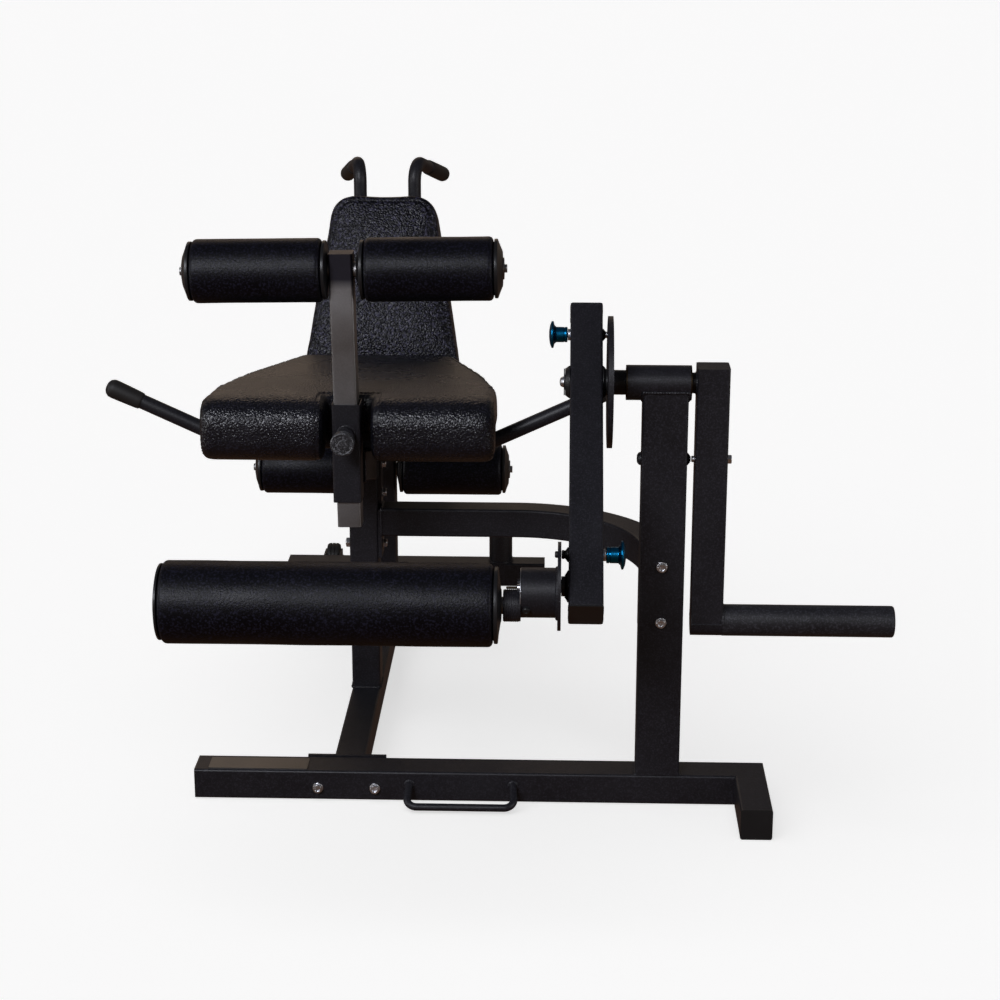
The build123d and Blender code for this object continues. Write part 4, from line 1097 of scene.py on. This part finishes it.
def round_bead(centre, u, v, along, reach, seed, radius=2.4):
    """Bead round a pipe or a rod."""
    return bead(ring_path(centre, u, v, reach, reach, reach), along, radius, seed=seed)


def tube_ring(node, direction, place, seed, corner=TUBE_CORNER):
    """Bead round a straight tube where it meets another part, at a place along the direction."""
    low, high, centre = span(node)
    axes = [a for a in (X, Y, Z) if abs(a.dot(direction)) < 0.5]
    halves = [abs((high - low).dot(a)) / 2 for a in axes]
    spot = centre - direction * centre.dot(direction) + direction * place
    return bead(ring_path(spot, *axes, *halves, corner), direction, seed=seed)


post_low, post_high, post_mid = span("upright_post")
bar_low, bar_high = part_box("front_crossbar")
house_low, house_high, house_mid = span("pivot_housing")
arm_low, arm_high, arm_mid = span("weight_arm")
horn_mid = span("plate_horn")[2]
disc_low, _, disc_mid = span("selector_disc")
hub_low, hub_high, hub_mid = span("carriage_hub")
plate_low, plate_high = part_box("carriage_disc")
pivot, carriage_pivot = axis_line("arm_adjust")[0], axis_line("carriage_adjust")[0]


def foot_welds():
    """Beads where the posts and the peg stand on their tubes, and round the foot of the upright."""
    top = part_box("spine_beam")[1].z + 0.4 * MM
    low, high = post_low, post_high
    corners = [Vector((low.x, low.y + 2 * MM, low.z)), Vector((low.x, high.y, low.z)),
               Vector((high.x, high.y, low.z)), Vector((high.x, low.y + 2 * MM, low.z))]
    return [tube_ring("seat_post", Z, top, 0.0), tube_ring("rear_post", Z, top, 3.7),
            tube_ring("storage_peg", Z, top, 7.4, 24 * MM),
            tube_ring("spine_beam", Y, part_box("rear_stabilizer")[0].y - 0.3 * MM, 5.1),
            bead(soften(corners, TUBE_CORNER), Z, 2.6, loop=False, seed=8.2)]


def saddle_weld():
    """Bead along the cut of the upright below the pivot housing."""
    reach, steps, saddle = (house_high.z - house_low.z) / 2, 16, []
    ys = [post_low.y + (post_high.y - post_low.y) * k / steps for k in range(steps + 1)]
    for x, row in ((post_low.x, ys), (post_high.x, ys[::-1])):
        saddle += [Vector((x, y, house_mid.z - sqrt(max(reach ** 2 - (y - house_mid.y) ** 2, 0))))
                   for y in row]
    return bead(saddle, Z, 2.8, seed=11.0)


def brace_welds():
    """Beads at both ends of the curved brace and behind the crossbar."""
    low, _, mid = span("curved_brace")
    return [square_bead(Vector((low.x, span("seat_post")[2].y, mid.z)), Y, Z, X, 14.0),
            square_bead(Vector((post_mid.x, low.y, mid.z)), X, Z, Y, 15.0),
            square_bead(Vector((0, bar_high.y + 6 * MM, span("spine_beam")[2].z)), X, Z, Y, 16.0)]


def handle_welds():
    """Beads where the ends of the carry handle meet the crossbar."""
    welds = []
    for points in islands("front_carry_handle"):
        near_wall = [p for p in points if p.y > bar_low.y - 0.5 * MM]
        for edge in extent(points, X):
            spot = middle([p for p in near_wall if abs(p.x - edge) < 20 * MM])
            welds.append(bead(ring_path(spot, X, Z, 6.4 * MM, 7.2 * MM, 6.3 * MM), Y, 2.4, seed=edge * 90))
    return welds


def hold_down_welds():
    """Beads at both ends of the hold-down's bracket and round the housing of its pull pin."""
    low, high, mid = span("hold_down_bracket")
    rise = (high.z - low.z) / 2 - 28 * MM
    pin_z = span("hold_down_pin_housing")[2].z
    return [square_bead(Vector((0, low.y, mid.z + rise)), X, Z, Y, 20.5, half_v=26 * MM),
            square_bead(Vector((0, high.y, mid.z - rise)), X, Z, Y, 19.5, half_v=26 * MM),
            round_bead(Vector((0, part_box("hold_down_sleeve")[0].y, pin_z)), X, Z, Y, 14 * MM, 22.0, 1.8)]


def shaft_welds():
    """Beads of the weight arm, the plate horn and the selector disc."""
    root = Vector((arm_high.x, horn_mid.y, horn_mid.z))
    over_horn = [root + Y * (cos(a) * 25 * MM) + Z * (sin(a) * 25 * MM)
                 for a in [pi * k / 24 for k in range(25)]]
    edge = [Vector((arm_high.x, arm_low.y, horn_mid.z)), Vector((arm_low.x, arm_low.y, horn_mid.z))]
    far_edge = [p + Y * (arm_high.y - arm_low.y) for p in edge]
    return [bead(over_horn, X, 2.8, loop=False, seed=30.0), bead(edge, Z, 1.6, loop=False, seed=31.0),
            bead(far_edge, Z, 1.6, loop=False, seed=32.0),
            round_bead(Vector((arm_low.x, arm_mid.y, house_mid.z)), Y, Z, X, 16 * MM, 33.0),
            round_bead(Vector((disc_low.x + 8 * MM, disc_mid.y, house_mid.z)), Y, Z, X, 19 * MM, 34.0)]


frame_welds = foot_welds() + [saddle_weld()] + brace_welds() + handle_welds() + hold_down_welds()
add_piece("frame_welds", join(frame_welds), "frame", "frame_black", sharp=70)
add_piece("shaft_welds", join(shaft_welds()), "shaft", "frame_black", sharp=70)


# ---------------------------------------------------------------- roller carriage
def make_carriage():
    """Weld, ribbed collar, bolt, pin, rim and button of the drum that carries the shin roller."""
    reach = (hub_high.z - hub_low.z) / 2
    axle = axis_line("shin_roller_spin")[0]
    ribs = [(0.2, 12.6), (0.2, 22.6)] + [(1.2 + k * 1.5, 22.8 + 0.7 * (k % 2)) for k in range(15)] + [
        (23.6, 22.6), (23.6, 12.6)]
    weld = round_bead(Vector((plate_low.x, hub_mid.y, hub_mid.z)), Y, Z, X, reach, 40.0, 3.0)
    collar = turned(ribs, 0.3, Vector((hub_low.x, axle.y, axle.z)), X, 72, loop=True)
    add_piece("carriage_welds", join([weld, collar]), "carriage", "frame_black", sharp=50)

    left = min(p.x for group in islands("carriage_hub") for p in group
               if p.z > hub_mid.z + 0.8 * reach)
    face = Vector((left, hub_mid.y, hub_mid.z))
    spot = face + (Z - Y) * (12 * MM)
    bolt = turned([(-1.5, 0), (-1.5, 6.2), (1.2, 6.6), (1.6, 5.4), (4.6, 5.2), (5.6, 4.0), (5.6, 0)], 0.4,
                  spot, -X, 36)
    outer, inner = reach - 0.2 * MM, reach - 2.0 * MM
    rim = lathe([(-0.6 * MM, inner), (-0.6 * MM, outer), (0, outer), (0, inner)], face, X, 96, loop=True)
    add_piece("hub_bolt_and_rim", join([bolt, rim]), "carriage", "zinc_steel")
    add_piece("hub_pin", turned([(5.0, 0), (5.0, 1.9), (20.0, 1.9), (21.0, 1.0), (21.0, 0)], 0.4, spot, -X,
                                24), "carriage", "bronze_bush")
    way = Vector((0, -cos(radians(25)), -sin(radians(25))))
    add_piece("hub_button", turned([(-2.0, 0), (-2.0, 5.6), (1.4, 5.6), (2.4, 4.6), (3.0, 2.6), (2.2, 2.2),
                                    (2.2, 0)], 0.4, face + X * (8 * MM) + way * reach, way, 32),
              "carriage", "black_plastic")


# ---------------------------------------------------------------- collars of the roller arm
def flare(x, way, at, base_r, tip_r, length, bore):
    """Black conical collar that stands on a face and narrows away from it."""
    profile = [(0, bore), (0, base_r), (1.2, base_r), (length - 1.0, tip_r + 0.6), (length, tip_r),
               (length, bore)]
    return turned(profile, 0.6, Vector((x, at.y, at.z)), X * way, 72, loop=True)


def make_arm_collars():
    """Collars of the arm's pivots and pull pins, and the tip of the lower pin past the plate."""
    face_low, face_high = (place.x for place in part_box("roller_arm"))
    upper, lower = span("upper_pin_knob")[2], span("lower_pin_knob")[2]
    disc_gap, neck = (disc_low.x - face_high) / MM, (face_low - plate_high.x) / MM - 3.0
    collars = [
        flare(face_low, -1, pivot, 25.0, 20.5, 7.6, 16.2),
        flare(face_high, 1, pivot, 25.0, 19.0, disc_gap - 0.6, 16.2),
        flare(face_low, -1, carriage_pivot, 23.0, 16.5, 5.5, 14.2),
        flare(face_high, 1, upper, 9.5, 5.9, 4.5, 5.1),
        flare(face_low, -1, lower, 11.0, 6.6, 5.0, 5.1),
        turned([(0.8, 5.1), (0.8, 6.6), (3.6, 6.6), (4.6, 5.9), (neck, 5.9), (neck, 5.1)], 0.3,
               Vector((plate_high.x, lower.y, lower.z)), X, 32, loop=True),
    ]
    add_piece("arm_flares", join(collars), "arm", "black_plastic")
    pin_low, pin_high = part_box("lower_pull_pin")
    pin_r = (pin_high.z - pin_low.z) / 2 / MM - 0.05
    tip = turned([(-2.5, 0), (-2.5, pin_r), (3.2, pin_r), (4.5, 0.7 * pin_r), (4.5, 0)], 0.5,
                 Vector((plate_low.x, lower.y, lower.z)), -X, 32)
    add_piece("lower_pin_tip", tip, "lower_pin", "black_plastic")


# ---------------------------------------------------------------- ends of the shaft and of the arm
def make_shaft_ends():
    """Washer and button bolt that close the left end of the shaft, and the bolt through the weight arm."""
    end_cap, arm_bolt = sorted(islands("shaft_fasteners"), key=lambda points: middle(points).x)
    cap_low, cap_high = (x / MM for x in extent(end_cap, X))
    line = Vector((0, pivot.y, pivot.z))
    washer = [(cap_high, 0), (cap_high, 12), (cap_high - 4.0, 12), (cap_high - 4.0, 20.5),
              (cap_high - 5.6, 20.3), (cap_high - 5.6, 0)]
    add_piece("shaft_end_washer", turned(washer, 0.3, line, X, 72), "shaft", "black_plastic")
    low, high = (x / MM for x in extent(arm_bolt, X))
    left, right = arm_low.x / MM, arm_high.x / MM
    bolt_line = Vector((0, middle(arm_bolt).y, middle(arm_bolt).z))
    ends = [
        turned([(cap_high - 5.4, 0), (cap_high - 5.4, 8.4), (cap_high - 6.6, 8.4), (cap_low + 2.2, 7.0),
                (cap_low + 0.6, 4.6), (cap_low, 0)], 0.8, line, X, 48),
        turned([(right - 2, 0), (right - 2, 8.0), (right + 1.2, 8.4), (right + 1.2, 0)], 0.3, bolt_line,
               X, 48),
        turned([(right + 1.2, 0), (right + 1.2, 7.8), (high - 1.2, 7.8), (high, 6.4), (high, 0)], 0.2,
               bolt_line, X, 72, hexagon_reach(BOLT_FLAT)),
        turned([(left + 1, 0), (left + 1, 5.0), (low + 0.8, 5.0), (low, 4.2), (low, 0)], 0.2, bolt_line,
               X, 32),
    ]
    add_piece("shaft_bolts", join(ends), "shaft", "zinc_steel", ("shaft_fasteners",), 30)


def make_arm_end_seams():
    """Fine seams where the plastic caps meet the ends of the roller arm."""
    along = carriage_pivot - pivot
    along = Vector((0, along.y, along.z)).normalized()
    across, half = X.cross(along).normalized(), TUBE_HALF - 0.3 * MM
    arm_points = [p for group in islands("roller_arm") for p in group]
    seams = []
    for place, seed in zip(extent(arm_points, along), (50.0, 51.0)):
        spot = pivot + along * (place - pivot.dot(along))
        spot.x = span("roller_arm")[2].x
        seams.append(square_bead(spot, X, across, along, seed, 0.9, half, half))
    add_piece("arm_end_seams", join(seams), "arm", "frame_black", sharp=70)


make_carriage()
make_arm_collars()
make_shaft_ends()
make_arm_end_seams()
